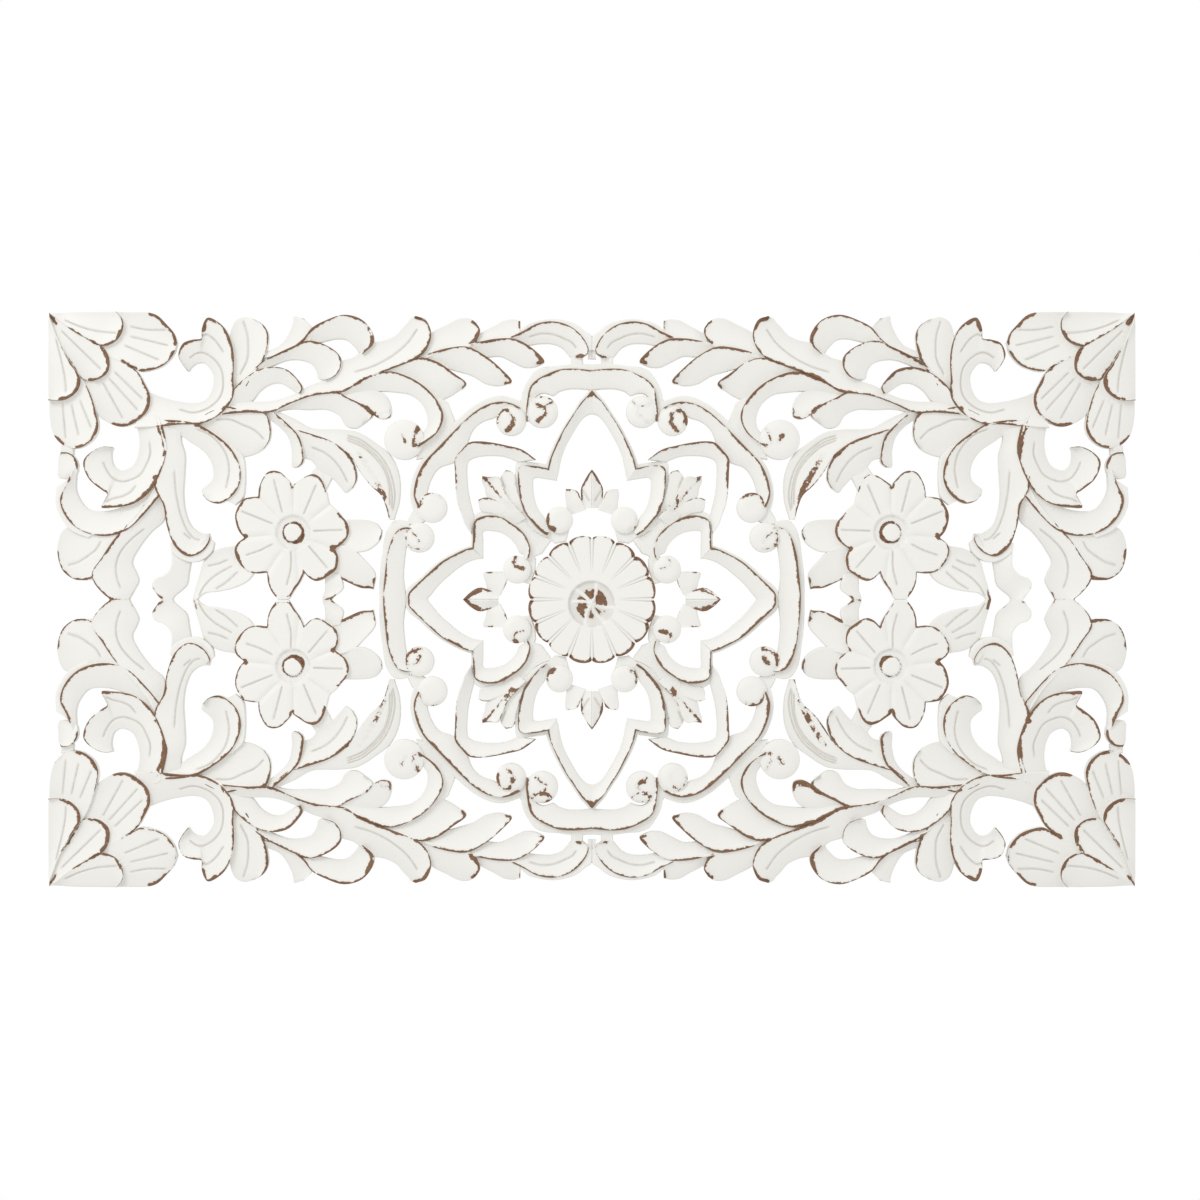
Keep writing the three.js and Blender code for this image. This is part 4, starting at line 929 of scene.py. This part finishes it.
def flower_shell(shape):
    """The flower: seven swelling petals with creases between them, a dished heart and a flat button.

    A petal falls towards a crease by the crease depth times the square of its nearness, from nothing at the
    heart. A soft step leads down to the heart, and the button falls by a high power of its share. Wear is the
    least of the distances from the rim, from the button's edge and from the knots, each with what it adds.
    """
    cell = cell_size(shape)
    centre = np.array(FLOWER_PLACE) * cell
    petals = [curve_through(petal, PETAL_STEPS) for petal in PETALS]
    reach = outline_reach(np.vstack(petals) * cell, centre, FLOWER_SECTORS)
    fall = -np.sin(np.arange(FLOWER_SECTORS) * (2 * math.pi / FLOWER_SECTORS))
    to_middle_line = np.where(fall > 0, centre[1] / np.maximum(fall, SMALLEST_FALL), reach.max())
    reach = np.minimum(reach, to_middle_line)
    creases = np.array([petal[0] for petal in petals]) * cell - centre
    crease_angle = np.arctan2(creases[:, 1], creases[:, 0])
    heart = FLOWER_HEART * cell[0]
    button = BUTTON_RADIUS * cell[0]

    def off_crease(place):
        offset = place - centre
        turn = np.arctan2(offset[..., 1], offset[..., 0])[..., None] - crease_angle
        turn = np.abs((turn + math.pi) % (2 * math.pi) - math.pi).min(-1)
        return np.linalg.norm(offset, axis=-1) * np.sin(np.minimum(turn, math.pi / 2))

    def vein(place):
        return nearness(distance_to_marks(PETAL_VEINS, place, shape), shape.vein_width)

    def height(place, share):
        out = np.linalg.norm(place - centre, axis=-1)
        crease = nearness(off_crease(place), CREASE_WIDTH)
        swell = CREASE_DEPTH * crease**2 * smooth((out - heart) / CREASE_RUN)
        petal = shape.crest_high - PETAL_DROP - swell - shape.vein_depth * vein(place)
        wall = smooth((out - heart + HEART_WALL) / HEART_WALL)
        dish = shape.crest_low + (petal - shape.crest_low) * wall
        return np.where(out < button, shape.ball_top - BUTTON_DROP * (out / button) ** BUTTON_POWER, dish)

    def worn(place, share):
        offset = place - centre
        out = np.linalg.norm(offset, axis=-1)
        beside_leaf = distance_to_marks(FLOWER_UNTOUCHED, place, shape) < SIDE_LEAF_REACH
        sheltered = (place[..., 1] < MIDDLE_LINE_REACH) | beside_leaf
        rim = (1 - share) * reach + PETAL_CLEAN + SHELTERED_CLEAN * sheltered
        low_side = np.maximum(-offset.sum(-1) / np.maximum(out * math.sqrt(2), MM), 0)
        ring = np.abs(out - button) * BUTTON_SPREAD + BUTTON_CLEAN
        ring = ring - BUTTON_LOW_RUB * low_side**BUTTON_LOW_POWER
        return np.minimum.reduce([rim, ring, distance_to_marks(FLOWER_KNOTS, place, shape) - KNOT_RUB])

    # Painted shade along the creases and in the heart, and dust and painted shade in the veins, all left off
    # the button
    def hollow(place, share):
        out = np.linalg.norm(place - centre, axis=-1)
        crease = CREASE_SHADE * nearness(off_crease(place), CREASE_LINE)
        return np.maximum(np.where(out < heart, HEART_SHADE, crease), vein(place)) * (out > button)

    return round_shell(centre, reach, height, worn, hollow, shape, FLOWER_RINGS)


def rosette_shell(shape):
    """The rosette: flat petals with round ends and grooves between them, about a dish with a ribbed knob.

    The reach grows from the notch by the square root of the size of a sine, once for each petal. Petals rise
    with the share of the way out, less two grooves beside each notch. The knob is a soft step, ribs are a
    power of the nearness of their lines, and a soft step leads up from the dish. Wear is the smaller of the
    distance from the wavy rim and that from a ring and ribs on the knob.
    """
    cell = cell_size(shape)[0]
    angle = np.arange(ROSETTE_SECTORS) * (2 * math.pi / ROSETTE_SECTORS)
    swing = np.abs(np.sin(ROSETTE_PETALS / 2 * angle))
    reach = cell * (ROSETTE_NOTCH + (ROSETTE_RADIUS - ROSETTE_NOTCH) * np.sqrt(swing))
    middle = np.array(DISH_PLACE)
    ribs = []
    for end in np.array(RIB_ENDS):
        bend = (middle + end) / 2 + RIB_BEND * np.array([end[1], -end[0]])
        ribs.append(np.array([middle, bend, end]) * cell)

    def off_groove(place):
        turn = np.arctan2(place[..., 1], place[..., 0])
        turn = np.abs((turn + ROSETTE_TURN / 2) % ROSETTE_TURN - ROSETTE_TURN / 2)
        return np.linalg.norm(place, axis=-1) * np.sin(turn)

    def groove_depth(place):
        out = np.linalg.norm(place, axis=-1) / cell
        run = np.clip((out - GROOVE_START) / (ROSETTE_NOTCH - GROOVE_START), 0, 1)
        aside = np.abs(off_groove(place) - GROOVE_ASIDE - GROOVE_SPREAD * run)
        return nearness(aside, GROOVE_WIDTH) * np.sqrt(run)

    def from_middle(place):
        return np.linalg.norm(place - middle * cell, axis=-1) / cell

    def height(place, share):
        out = from_middle(place)
        petal = shape.crest_high - ROSETTE_DROP + ROSETTE_RISE * share - GROOVE_DEPTH * groove_depth(place)
        knob = KNOB_HEIGHT * (1 - smooth(out / KNOB_RADIUS))
        rib = RIB_HEIGHT * nearness(distance_to(ribs, place), RIB_WIDTH) ** RIB_POWER
        dish = shape.foot_thick + knob + rib * (1 - RIB_FALL * smooth(out / DISH_RADIUS))
        return dish + (petal - dish) * smooth((out - DISH_RADIUS + DISH_WALL) / DISH_WALL)

    def worn(place, share):
        side = np.arctan2(place[..., 1], place[..., 0])
        waves = sum(depth * np.cos(count * side - start) for depth, count, start in RIM_WAVES)
        corner = nearness(off_groove(place), CORNER_REACH)
        rim = (1 - share) * reach + RIM_CLEAN - CORNER_RUB * corner + waves
        rim = rim + NOTCH_CLEAN * (off_groove(place) < NOTCH_REACH)
        ring = (np.abs(from_middle(place) - KNOB_RING) - KNOB_RING_REACH) * cell
        knob = np.maximum(np.maximum(ring, BESIDE_RIB - distance_to(ribs, place)), 0) + KNOB_CLEAN
        return np.minimum(rim, knob)

    # Painted shade in the grooves and in the dish between the ribs
    def hollow(place, share):
        between = np.clip(distance_to(ribs, place) / BESIDE_RIB - BESIDE_RIB_START, 0, 1)
        painted_darkening = DISH_SHADE * between * (from_middle(place) < DISH_RADIUS)
        return np.maximum(GROOVE_SHADE * groove_depth(place), painted_darkening)

    return round_shell(np.zeros(2), reach, height, worn, hollow, shape, ROSETTE_RINGS)


def triangle_volume(points):
    """Signed volume inside a closed shell of rings: the sum over its triangles of a . (b x c) / 6."""
    after = np.roll(points, -1, axis=1)
    a, b, c, d = points[:-1], points[1:], after[1:], after[:-1]
    total = np.einsum("ijk,ijk->", a, np.cross(b, c)) + np.einsum("ijk,ijk->", a, np.cross(c, d))
    for ring, sign in ((points[0], 1), (points[-1], -1)):
        total += sign * np.einsum("jk,jk->", ring[0] + 0 * ring[:-1], np.cross(ring[:-1], ring[1:]))
    return total / 6


def facing_out(shell):
    """The shell with its rings turned so that every face looks outwards."""
    if triangle_volume(shell.points) < 0:
        return shell
    return Shell(*(values[:, ::-1] for values in shell))


def mirrored(shells):
    """Each shell four times, mirrored across both middle lines of the board."""
    signs = ((1, 1, 1), (-1, 1, 1), (1, 1, -1), (-1, 1, -1))
    return [shell._replace(points=shell.points * sign) for shell in shells for sign in signs]


def shell_faces(rows, columns):
    """Corners and face sizes of a closed shell: quads between its rings, and one face over each end."""
    number = np.arange(rows * columns).reshape(rows, columns)
    after = np.roll(number, -1, axis=1)
    quads = np.stack([number[:-1], after[:-1], after[1:], number[1:]], axis=-1).reshape(-1)
    corners = np.concatenate([quads, number[0][::-1], number[-1]])
    sizes = np.concatenate([np.full((rows - 1) * columns, 4), [columns, columns]])
    return corners, sizes


def set_apart(shells, first):
    """The shells brought forward and shrunk by hair's breadths, so that no two flat faces coincide.

    The share of each is what a multiple of the golden ratio leaves over a whole number. No two are alike.
    """
    moved = []
    for number, shell in enumerate(shells, first):
        share = number * GOLDEN_RATIO % 1
        fit = 1 - SHRINK * share
        moved.append(shell._replace(points=shell.points * [fit, 1, fit] - [0, HAIR * share, 0]))
    return moved


def panel_piece(name, shells, context):
    """One mesh piece of the panel from closed shells, painted and bound to the frame."""
    first = SHELLS_A_PIECE * len(context.scene.collection.objects)
    shells = set_apart([facing_out(shell) for shell in shells], first)
    points, corners, sizes, start = [], [], [], 0
    for shell in shells:
        rows, columns = shell.worn.shape
        shell_corners, shell_sizes = shell_faces(rows, columns)
        points.append(shell.points.reshape(-1, 3))
        corners.append(shell_corners + start)
        sizes.append(shell_sizes)
        start += rows * columns
    points, corners, sizes = (np.concatenate(part) for part in (points, corners, sizes))
    mesh = bpy.data.meshes.new(name)
    mesh.vertices.add(len(points))
    mesh.vertices.foreach_set("co", points.astype(np.float32).reshape(-1))
    mesh.loops.add(len(corners))
    mesh.loops.foreach_set("vertex_index", corners.astype(np.int32))
    mesh.polygons.add(len(sizes))
    mesh.polygons.foreach_set("loop_start", (np.cumsum(sizes) - sizes).astype(np.int32))
    mesh.update(calc_edges=True)
    # The worn distance and the grey of dust and painted shade are stored on the points
    for label, values in (("worn", [s.worn for s in shells]), ("hollow", [s.hollow for s in shells])):
        layer = mesh.attributes.new(label, "FLOAT", "POINT")
        layer.data.foreach_set("value", np.concatenate([v.reshape(-1) for v in values]).astype(np.float32))
    mesh.polygons.foreach_set("use_smooth", np.ones(len(sizes), bool))
    mesh.set_sharp_from_angle(angle=SMOOTH_ANGLE)
    mesh.materials.append(worn_paint(context.scene.panel_paint))
    piece = bpy.data.objects.new(name, mesh)
    context.scene.collection.objects.link(piece)
    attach(piece, BODY)
    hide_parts(NODE)
    return piece


class Signal:
    """A number that runs through a material. Arithmetic on it adds Math nodes."""

    def __init__(self, finish, socket):
        self.finish = finish
        self.socket = socket

    def combined(self, operation, other, swapped=False):
        pair = (other, self) if swapped else (self, other)
        return self.finish.node("ShaderNodeMath", {"operation": operation}, {0: pair[0], 1: pair[1]})

    def __add__(self, other):
        return self.combined("ADD", other)

    def __sub__(self, other):
        return self.combined("SUBTRACT", other)

    def __rsub__(self, other):
        return self.combined("SUBTRACT", other, swapped=True)

    def __mul__(self, other):
        return self.combined("MULTIPLY", other)

    def __truediv__(self, other):
        return self.combined("DIVIDE", other)

    def __rtruediv__(self, other):
        return self.combined("DIVIDE", other, swapped=True)

    __radd__ = __add__
    __rmul__ = __mul__

    def held(self):
        """The number held between 0 and 1."""
        return self.finish.node("ShaderNodeMath", {"operation": "ADD", "use_clamp": True}, {0: self, 1: 0.0})


class Finish:
    """A material under construction."""

    def __init__(self, name):
        self.material = bpy.data.materials.new(name)
        self.material.use_nodes = True
        self.tree = self.material.node_tree
        self.shader = self.tree.nodes["Principled BSDF"]
        self.place = self.node("ShaderNodeTexCoord", {}, {}, "Object")

    def node(self, kind, settings, inputs, output=0):
        """Adds a node: its settings first, then the values or links of its sockets. Returns one output."""
        made = self.tree.nodes.new(kind)
        for key, value in settings.items():
            setattr(made, key, value)
        for key, value in inputs.items():
            self.feed(made.inputs[key], value)
        return Signal(self, made.outputs[output])

    def feed(self, socket, value):
        """Links a signal to a socket, or sets the socket's own value."""
        if isinstance(value, Signal):
            self.tree.links.new(value.socket, socket)
        else:
            socket.default_value = value

    def attribute(self, name):
        """A number stored on the points of the mesh."""
        return self.node("ShaderNodeAttribute", {"attribute_name": name}, {}, "Fac")

    def noise(self, grain, detail, stretch=None):
        """Cloudy noise whose blots are about one grain wide, from about 0.3 to 0.7."""
        place = self.place
        if stretch:
            place = self.node("ShaderNodeMapping", {}, {"Vector": place, "Scale": stretch})
        return self.node("ShaderNodeTexNoise", {}, {"Vector": place, "Scale": 1 / grain, "Detail": detail})

    def patches(self, kind):
        """Noise times the contrast less the drop, held between 0 and 1, times the strength."""
        noise = self.noise(kind.grain, kind.detail, kind.stretch)
        return (noise * kind.contrast - kind.drop).held() * kind.strength

    def blend(self, first, second, share):
        """A colour between two colours."""
        sockets = {MIX_SHARE: share, MIX_FIRST: first, MIX_SECOND: second}
        return self.node("ShaderNodeMix", {"data_type": "RGBA"}, sockets, MIX_RESULT)


def opaque(colour):
    """A colour with full cover."""
    return tuple(colour) + (1,)


def wandering_width(finish, usual):
    """The width that is rubbed bare: the usual one, moved about by broad, ragged and fine noise."""
    width = usual
    for grain, detail, reach in WEAR_WANDER:
        width = width + (finish.noise(grain, detail) - NOISE_MIDDLE) * reach
    return width


def paint_colour(finish, paint, bare_by):
    """Clouded white, greyed by dust and painted shade in hollows, and beige where it is thin: beside bare
    wood and in flecks.
    """
    beside = (bare_by / THIN_REACH + THIN_START).held() * THIN_STRENGTH
    thin = (beside + finish.patches(FLECKS)).held()
    # Dust and painted shade grey the paint in grooves, creases, dishes and at the feet of leaves
    hollow = (finish.attribute("hollow") * DUST_AND_SHADE_TINT).held()
    white = finish.blend(opaque(paint.paint), opaque(paint.paint_shade), finish.patches(CLOUDS))
    white = finish.blend(white, opaque(paint.groove), hollow)
    return finish.blend(white, opaque(paint.thin_paint), thin)


def surface_height(finish, bare):
    """The height that bumps the surface: brush marks and soft swells, lower where the paint is gone."""
    brush = finish.noise(*BRUSH) * BRUSH_DEPTH
    swell = finish.noise(*SWELL) * SWELL_DEPTH
    return brush + swell - bare * PAINT_DEPTH


def worn_paint(paint):
    """White paint over brown wood, gone where the wandering width is more than the worn distance."""
    made = bpy.data.materials.get("worn_white_paint")
    if made:
        return made
    finish = Finish("worn_white_paint")
    bare_by = wandering_width(finish, paint.wear_width) - finish.attribute("worn")
    bare = (bare_by / BARE_EDGE + EDGE_MIDDLE).held()
    wood = finish.blend(opaque(paint.wood), opaque(paint.wood_dark), finish.patches(STREAKS))
    sockets = finish.shader.inputs
    finish.feed(sockets["Base Color"], finish.blend(paint_colour(finish, paint, bare_by), wood, bare))

    sheen = (finish.noise(*SHEEN) - NOISE_MIDDLE) * SHEEN_SPREAD
    finish.feed(sockets["Roughness"], PAINT_ROUGHNESS + bare * WOOD_ROUGHER + sheen)
    bumps = {"Strength": BUMP_STRENGTH, "Distance": MM, "Height": surface_height(finish, bare)}
    finish.feed(sockets["Normal"], finish.node("ShaderNodeBump", {}, bumps))
    sockets["IOR"].default_value = PAINT_IOR
    return finish.material


def size_setting(name, description, default, least):
    """A setting that holds a length."""
    return FloatProperty(
        name=name, description=description, default=default, min=least,
        unit="LENGTH", subtype="DISTANCE", precision=4)


def colour_setting(name, description, default):
    """A setting that holds a colour."""
    return FloatVectorProperty(
        name=name, description=description, default=default, min=0, max=1, size=3, subtype="COLOR")


class PanelShape(PropertyGroup):
    """Sizes of the carved board."""

    length: size_setting("Length", "Length of the board along the wall", 1.2, 0.3)
    height: size_setting("Height", "Height of the board", 0.635, 0.15)
    crest_full: size_setting("Full crest", "Thickness at the highest crests", 18 * MM, 2 * MM)
    crest_high: size_setting("High crest", "Thickness at high crests", 17 * MM, 2 * MM)
    crest_middle: size_setting("Middle crest", "Thickness at middle crests", 15.5 * MM, 2 * MM)
    crest_low: size_setting("Low crest", "Thickness at low crests", 14 * MM, 2 * MM)
    foot_thick: size_setting("Thick foot", "Thickness where the stronger leaves run out", 12.5 * MM, 2 * MM)
    foot_thin: size_setting("Thin foot", "Thickness where the lighter leaves run out", 11 * MM, 2 * MM)
    ledge: size_setting("Ledge", "Thickness of the ledges outside the frame and star", 11 * MM, MM)
    outer_ledge: size_setting("Outer ledge", "Thickness of the ledges outside the large leaves", 15 * MM, MM)
    web: size_setting("Web", "Thickness of the webs between the parts", 11 * MM, MM)
    ball_top: size_setting("Ball top", "Thickness at the top of a ball or button", 17 * MM, 2 * MM)
    ball_drop: size_setting("Ball drop", "How far a ball falls from its top to its rim", 2.2 * MM, 0)
    arris: size_setting("Arris", "Radius of the rubbed edges", 1.1 * MM, 0.1 * MM)
    vein_depth: size_setting("Vein depth", "Depth of the grooves cut along the leaves", 1.3 * MM, 0)
    vein_width: size_setting("Vein width", "From the middle of a groove to its edge", 1.6 * MM, 0.2 * MM)
    step: size_setting("Step", "Distance between the points of the mesh across a leaf", 1.25 * MM, 0.5 * MM)


class PanelPaint(PropertyGroup):
    """Colours and wear of the finish."""

    paint: colour_setting("Paint", "Colour of the paint", (0.84, 0.832, 0.795))
    paint_shade: colour_setting("Paint shade", "Colour of the duller paint", (0.79, 0.782, 0.742))
    # The grey that dust and painted shade give the paint in grooves, creases, dishes and at the feet of
    # leaves
    groove: colour_setting("Grooves", "Colour of the paint in grooves", (0.52, 0.485, 0.43))
    thin_paint: colour_setting("Thin paint", "Colour where wood shows through", (0.50, 0.42, 0.34))
    wood: colour_setting("Wood", "Colour of the bare wood", (0.250, 0.138, 0.076))
    wood_dark: colour_setting("Dark wood", "Colour of the darkest bare wood", (0.140, 0.070, 0.035))
    wear_width: size_setting("Wear", "Usual width of the bare wood along a crest", 2.0 * MM, 0)


class PhotoStudio(PropertyGroup):
    """Light, floor and camera."""

    view_width: size_setting("View width", "Width of the picture at the panel", 1.329, 0.1)
    lens: FloatProperty(
        name="Lens", description="Focal length of the camera in millimetres",
        default=100, min=20, max=300)
    floor_drop: size_setting("Floor drop", "Distance of the floor below the panel's middle", 0.95, 0.4)
    floor_colour: colour_setting("Floor colour", "Colour of the floor", (0.82, 0.82, 0.81))
    key_power: FloatProperty(
        name="Key light", description="Power of the soft light at the upper left",
        default=55, min=0, unit="POWER")
    sky: FloatProperty(
        name="Sky", description="Strength of the light from all round", default=0.90, min=0)


class PanelOperator(Operator):
    """Shared by the operators that build one piece of the panel."""

    bl_options = {"REGISTER", "UNDO"}
    piece_name = ""
    leaves = ()

    def quarter(self, shape):
        """The closed shells of one quarter of this piece."""
        return [leaf_shell(leaf, shape) for leaf in self.leaves]

    def shells(self, shape):
        """All closed shells of this piece."""
        return mirrored(self.quarter(shape))

    def execute(self, context):
        shells = self.shells(context.scene.panel_shape)
        if not shells:
            raise RuntimeError("no shells for " + self.piece_name)
        panel_piece(self.piece_name, shells, context)
        return {"FINISHED"}


class PANEL_OT_corner_shells(PanelOperator):
    """Build the corner shells"""

    bl_idname = "carved_panel.corner_shells"
    bl_label = "Corner Shells"
    piece_name = "corner_shells"
    leaves = SHELL_LEAVES


class PANEL_OT_corner_scrolls(PanelOperator):
    """Build the scrolls beside the corner shells"""

    bl_idname = "carved_panel.corner_scrolls"
    bl_label = "Corner Scrolls"
    piece_name = "corner_scrolls"
    leaves = SCROLL_LEAVES


class PANEL_OT_stem_leaves(PanelOperator):
    """Build the stems with the leaves that grow from them"""

    bl_idname = "carved_panel.stem_leaves"
    bl_label = "Stem Leaves"
    piece_name = "stem_leaves"
    leaves = STEM_LEAVES


class PANEL_OT_edge_leaves(PanelOperator):
    """Build the leaves at the short edges"""

    bl_idname = "carved_panel.edge_leaves"
    bl_label = "Edge Leaves"
    piece_name = "edge_leaves"
    leaves = EDGE_LEAVES


class PANEL_OT_flower_leaves(PanelOperator):
    """Build the leaves round the flowers"""

    bl_idname = "carved_panel.flower_leaves"
    bl_label = "Flower Leaves"
    piece_name = "flower_leaves"
    leaves = FLOWER_LEAVES


class PANEL_OT_scroll_frame(PanelOperator):
    """Build the scrolled frame and the balls"""

    bl_idname = "carved_panel.scroll_frame"
    bl_label = "Scroll Frame"
    piece_name = "scroll_frame"

    def quarter(self, shape):
        bands = [shell for band in FRAME_BANDS for shell in band_shells(band, shape)]
        return bands + [ball_shell(ball, shape) for ball in BALLS]


class PANEL_OT_star(PanelOperator):
    """Build the star and the palmettes in it"""

    bl_idname = "carved_panel.star"
    bl_label = "Star"
    piece_name = "star"

    def quarter(self, shape):
        bands = [shell for band in STAR_BANDS for shell in band_shells(band, shape)]
        return bands + [leaf_shell(leaf, shape) for leaf in PALMETTE_LEAVES]


class PANEL_OT_webs(PanelOperator):
    """Build the low ledges and webs"""

    bl_idname = "carved_panel.webs"
    bl_label = "Ledges and Webs"
    piece_name = "webs"

    def quarter(self, shape):
        ledges = [low_strip(*edges_of(rungs, shape), shape.outer_ledge, shape) for rungs in LEDGES]
        return ledges + [web_shell(places, shape) for places in WEBS]


class PANEL_OT_flowers(PanelOperator):
    """Build the four flowers"""

    bl_idname = "carved_panel.flowers"
    bl_label = "Flowers"
    piece_name = "flowers"

    def quarter(self, shape):
        return [flower_shell(shape)]


class PANEL_OT_rosette(PanelOperator):
    """Build the rosette in the middle"""

    bl_idname = "carved_panel.rosette"
    bl_label = "Rosette"
    piece_name = "rosette"

    def shells(self, shape):
        return [rosette_shell(shape)]


def round_floor(studio):
    """The pale floor under the panel: a thin disc, its rings at even shares of its radius."""
    angle = np.arange(FLOOR_SECTORS) * (2 * math.pi / FLOOR_SECTORS)
    reach = FLOOR_RADIUS * np.linspace(FLOOR_EYE, 1, FLOOR_RINGS)[:, None]
    top = np.stack([reach * np.cos(angle), reach * np.sin(angle), 0 * reach * angle], axis=-1)
    points = np.concatenate([top, top[-1:] + [0, 0, -FLOOR_THICKNESS]])
    points[..., 2] -= studio.floor_drop
    corners, sizes = shell_faces(*points.shape[:2])
    faces = np.split(corners, np.cumsum(sizes)[:-1])
    mesh = bpy.data.meshes.new("studio_floor")
    mesh.from_pydata(points.reshape(-1, 3).tolist(), [], [face.tolist()[::-1] for face in faces])
    mesh.materials.append(floor_paint(studio.floor_colour))
    return bpy.data.objects.new("studio_floor", mesh)


def floor_paint(colour):
    """A pale matt floor, very slightly clouded."""
    finish = Finish("floor_paint")
    darker = [FLOOR_SHADE * value for value in colour]
    clouded = finish.blend(opaque(colour), opaque(darker), finish.patches(FLOOR_CLOUDS))
    finish.feed(finish.shader.inputs["Base Color"], clouded)
    finish.shader.inputs["Roughness"].default_value = FLOOR_ROUGHNESS
    return finish.material


def soft_light(name, place, size, power):
    """A square area light that looks at the middle of the panel."""
    light = bpy.data.lights.new(name, "AREA")
    light.shape = "SQUARE"
    light.size = size
    light.energy = power
    lamp = bpy.data.objects.new(name, light)
    lamp.location = place
    lamp.rotation_euler = (-Vector(place)).to_track_quat("-Z", "Y").to_euler()
    return lamp


def white_room(scene, strength):
    """An even white world that shows as plain white behind the panel and lights it a little less."""
    world = bpy.data.worlds.new("white_room")
    world.use_nodes = True
    tree = world.node_tree
    background = tree.nodes["Background"]
    background.inputs["Color"].default_value = (1, 1, 1, 1)
    path = tree.nodes.new("ShaderNodeLightPath")
    level = tree.nodes.new("ShaderNodeMapRange")
    level.inputs["To Min"].default_value = strength
    level.inputs["To Max"].default_value = 1.0
    tree.links.new(path.outputs["Is Camera Ray"], level.inputs["Value"])
    tree.links.new(level.outputs["Result"], background.inputs["Strength"])
    scene.world = world


def front_camera(scene, studio):
    """The camera straight in front of the panel, far enough back to see the view width."""
    data = bpy.data.cameras.new("camera")
    data.lens = studio.lens
    camera = bpy.data.objects.new("camera", data)
    distance = studio.view_width * data.lens / data.sensor_width
    pixel = studio.view_width / PHOTO_SIZE
    aside = (PHOTO_SIZE / 2 - MIDDLE_COLUMN) * pixel
    up = (MIDDLE_ROW - PHOTO_SIZE / 2) * pixel
    camera.location = (aside, -distance, up)
    camera.rotation_euler = (math.pi / 2, 0, 0)
    scene.collection.objects.link(camera)
    scene.camera = camera


class PANEL_OT_studio(Operator):
    """Set up the floor, the light and the camera"""

    bl_idname = "carved_panel.studio"
    bl_label = "Studio"
    bl_options = {"REGISTER", "UNDO"}

    def execute(self, context):
        scene = context.scene
        studio = scene.photo_studio
        front_camera(scene, studio)
        white_room(scene, studio.sky)
        floor = round_floor(studio)
        scene.collection.objects.link(floor)
        scene.collection.objects.link(soft_light("key_light", KEY_PLACE, KEY_SIZE, studio.key_power))
        scene.view_settings.view_transform = "Standard"
        return {"FINISHED"}


PIECES = (
    PANEL_OT_corner_shells, PANEL_OT_corner_scrolls, PANEL_OT_stem_leaves, PANEL_OT_edge_leaves,
    PANEL_OT_flower_leaves, PANEL_OT_scroll_frame, PANEL_OT_star, PANEL_OT_webs, PANEL_OT_flowers,
    PANEL_OT_rosette, PANEL_OT_studio,
)


class PANEL_PT_sidebar(Panel):
    """Sizes, colours and pieces of the carved panel"""

    bl_idname = "PANEL_PT_sidebar"
    bl_label = "Carved Panel"
    bl_space_type = "VIEW_3D"
    bl_region_type = "UI"
    bl_category = "Carved Panel"

    def draw(self, context):
        scene = context.scene
        for settings in (scene.panel_shape, scene.panel_paint, scene.photo_studio):
            box = self.layout.box()
            for name in settings.bl_rna.properties.keys():
                if name not in ("rna_type", "name"):
                    box.prop(settings, name)
        for piece in PIECES:
            self.layout.operator(piece.bl_idname)


CLASSES = (PanelShape, PanelPaint, PhotoStudio) + PIECES + (PANEL_PT_sidebar,)


def register():
    """Adds the settings, operators and sidebar to Blender."""
    for item in CLASSES:
        bpy.utils.register_class(item)
    bpy.types.Scene.panel_shape = PointerProperty(type=PanelShape)
    bpy.types.Scene.panel_paint = PointerProperty(type=PanelPaint)
    bpy.types.Scene.photo_studio = PointerProperty(type=PhotoStudio)


def unregister():
    """Takes them out again."""
    del bpy.types.Scene.photo_studio
    del bpy.types.Scene.panel_paint
    del bpy.types.Scene.panel_shape
    for item in reversed(CLASSES):
        bpy.utils.unregister_class(item)


def main():
    """Builds every piece and the studio."""
    register()
    bpy.ops.carved_panel.corner_shells()
    bpy.ops.carved_panel.corner_scrolls()
    bpy.ops.carved_panel.stem_leaves()
    bpy.ops.carved_panel.edge_leaves()
    bpy.ops.carved_panel.flower_leaves()
    bpy.ops.carved_panel.scroll_frame()
    bpy.ops.carved_panel.star()
    bpy.ops.carved_panel.webs()
    bpy.ops.carved_panel.flowers()
    bpy.ops.carved_panel.rosette()
    bpy.ops.carved_panel.studio()


if __name__ == "__main__":
    main()
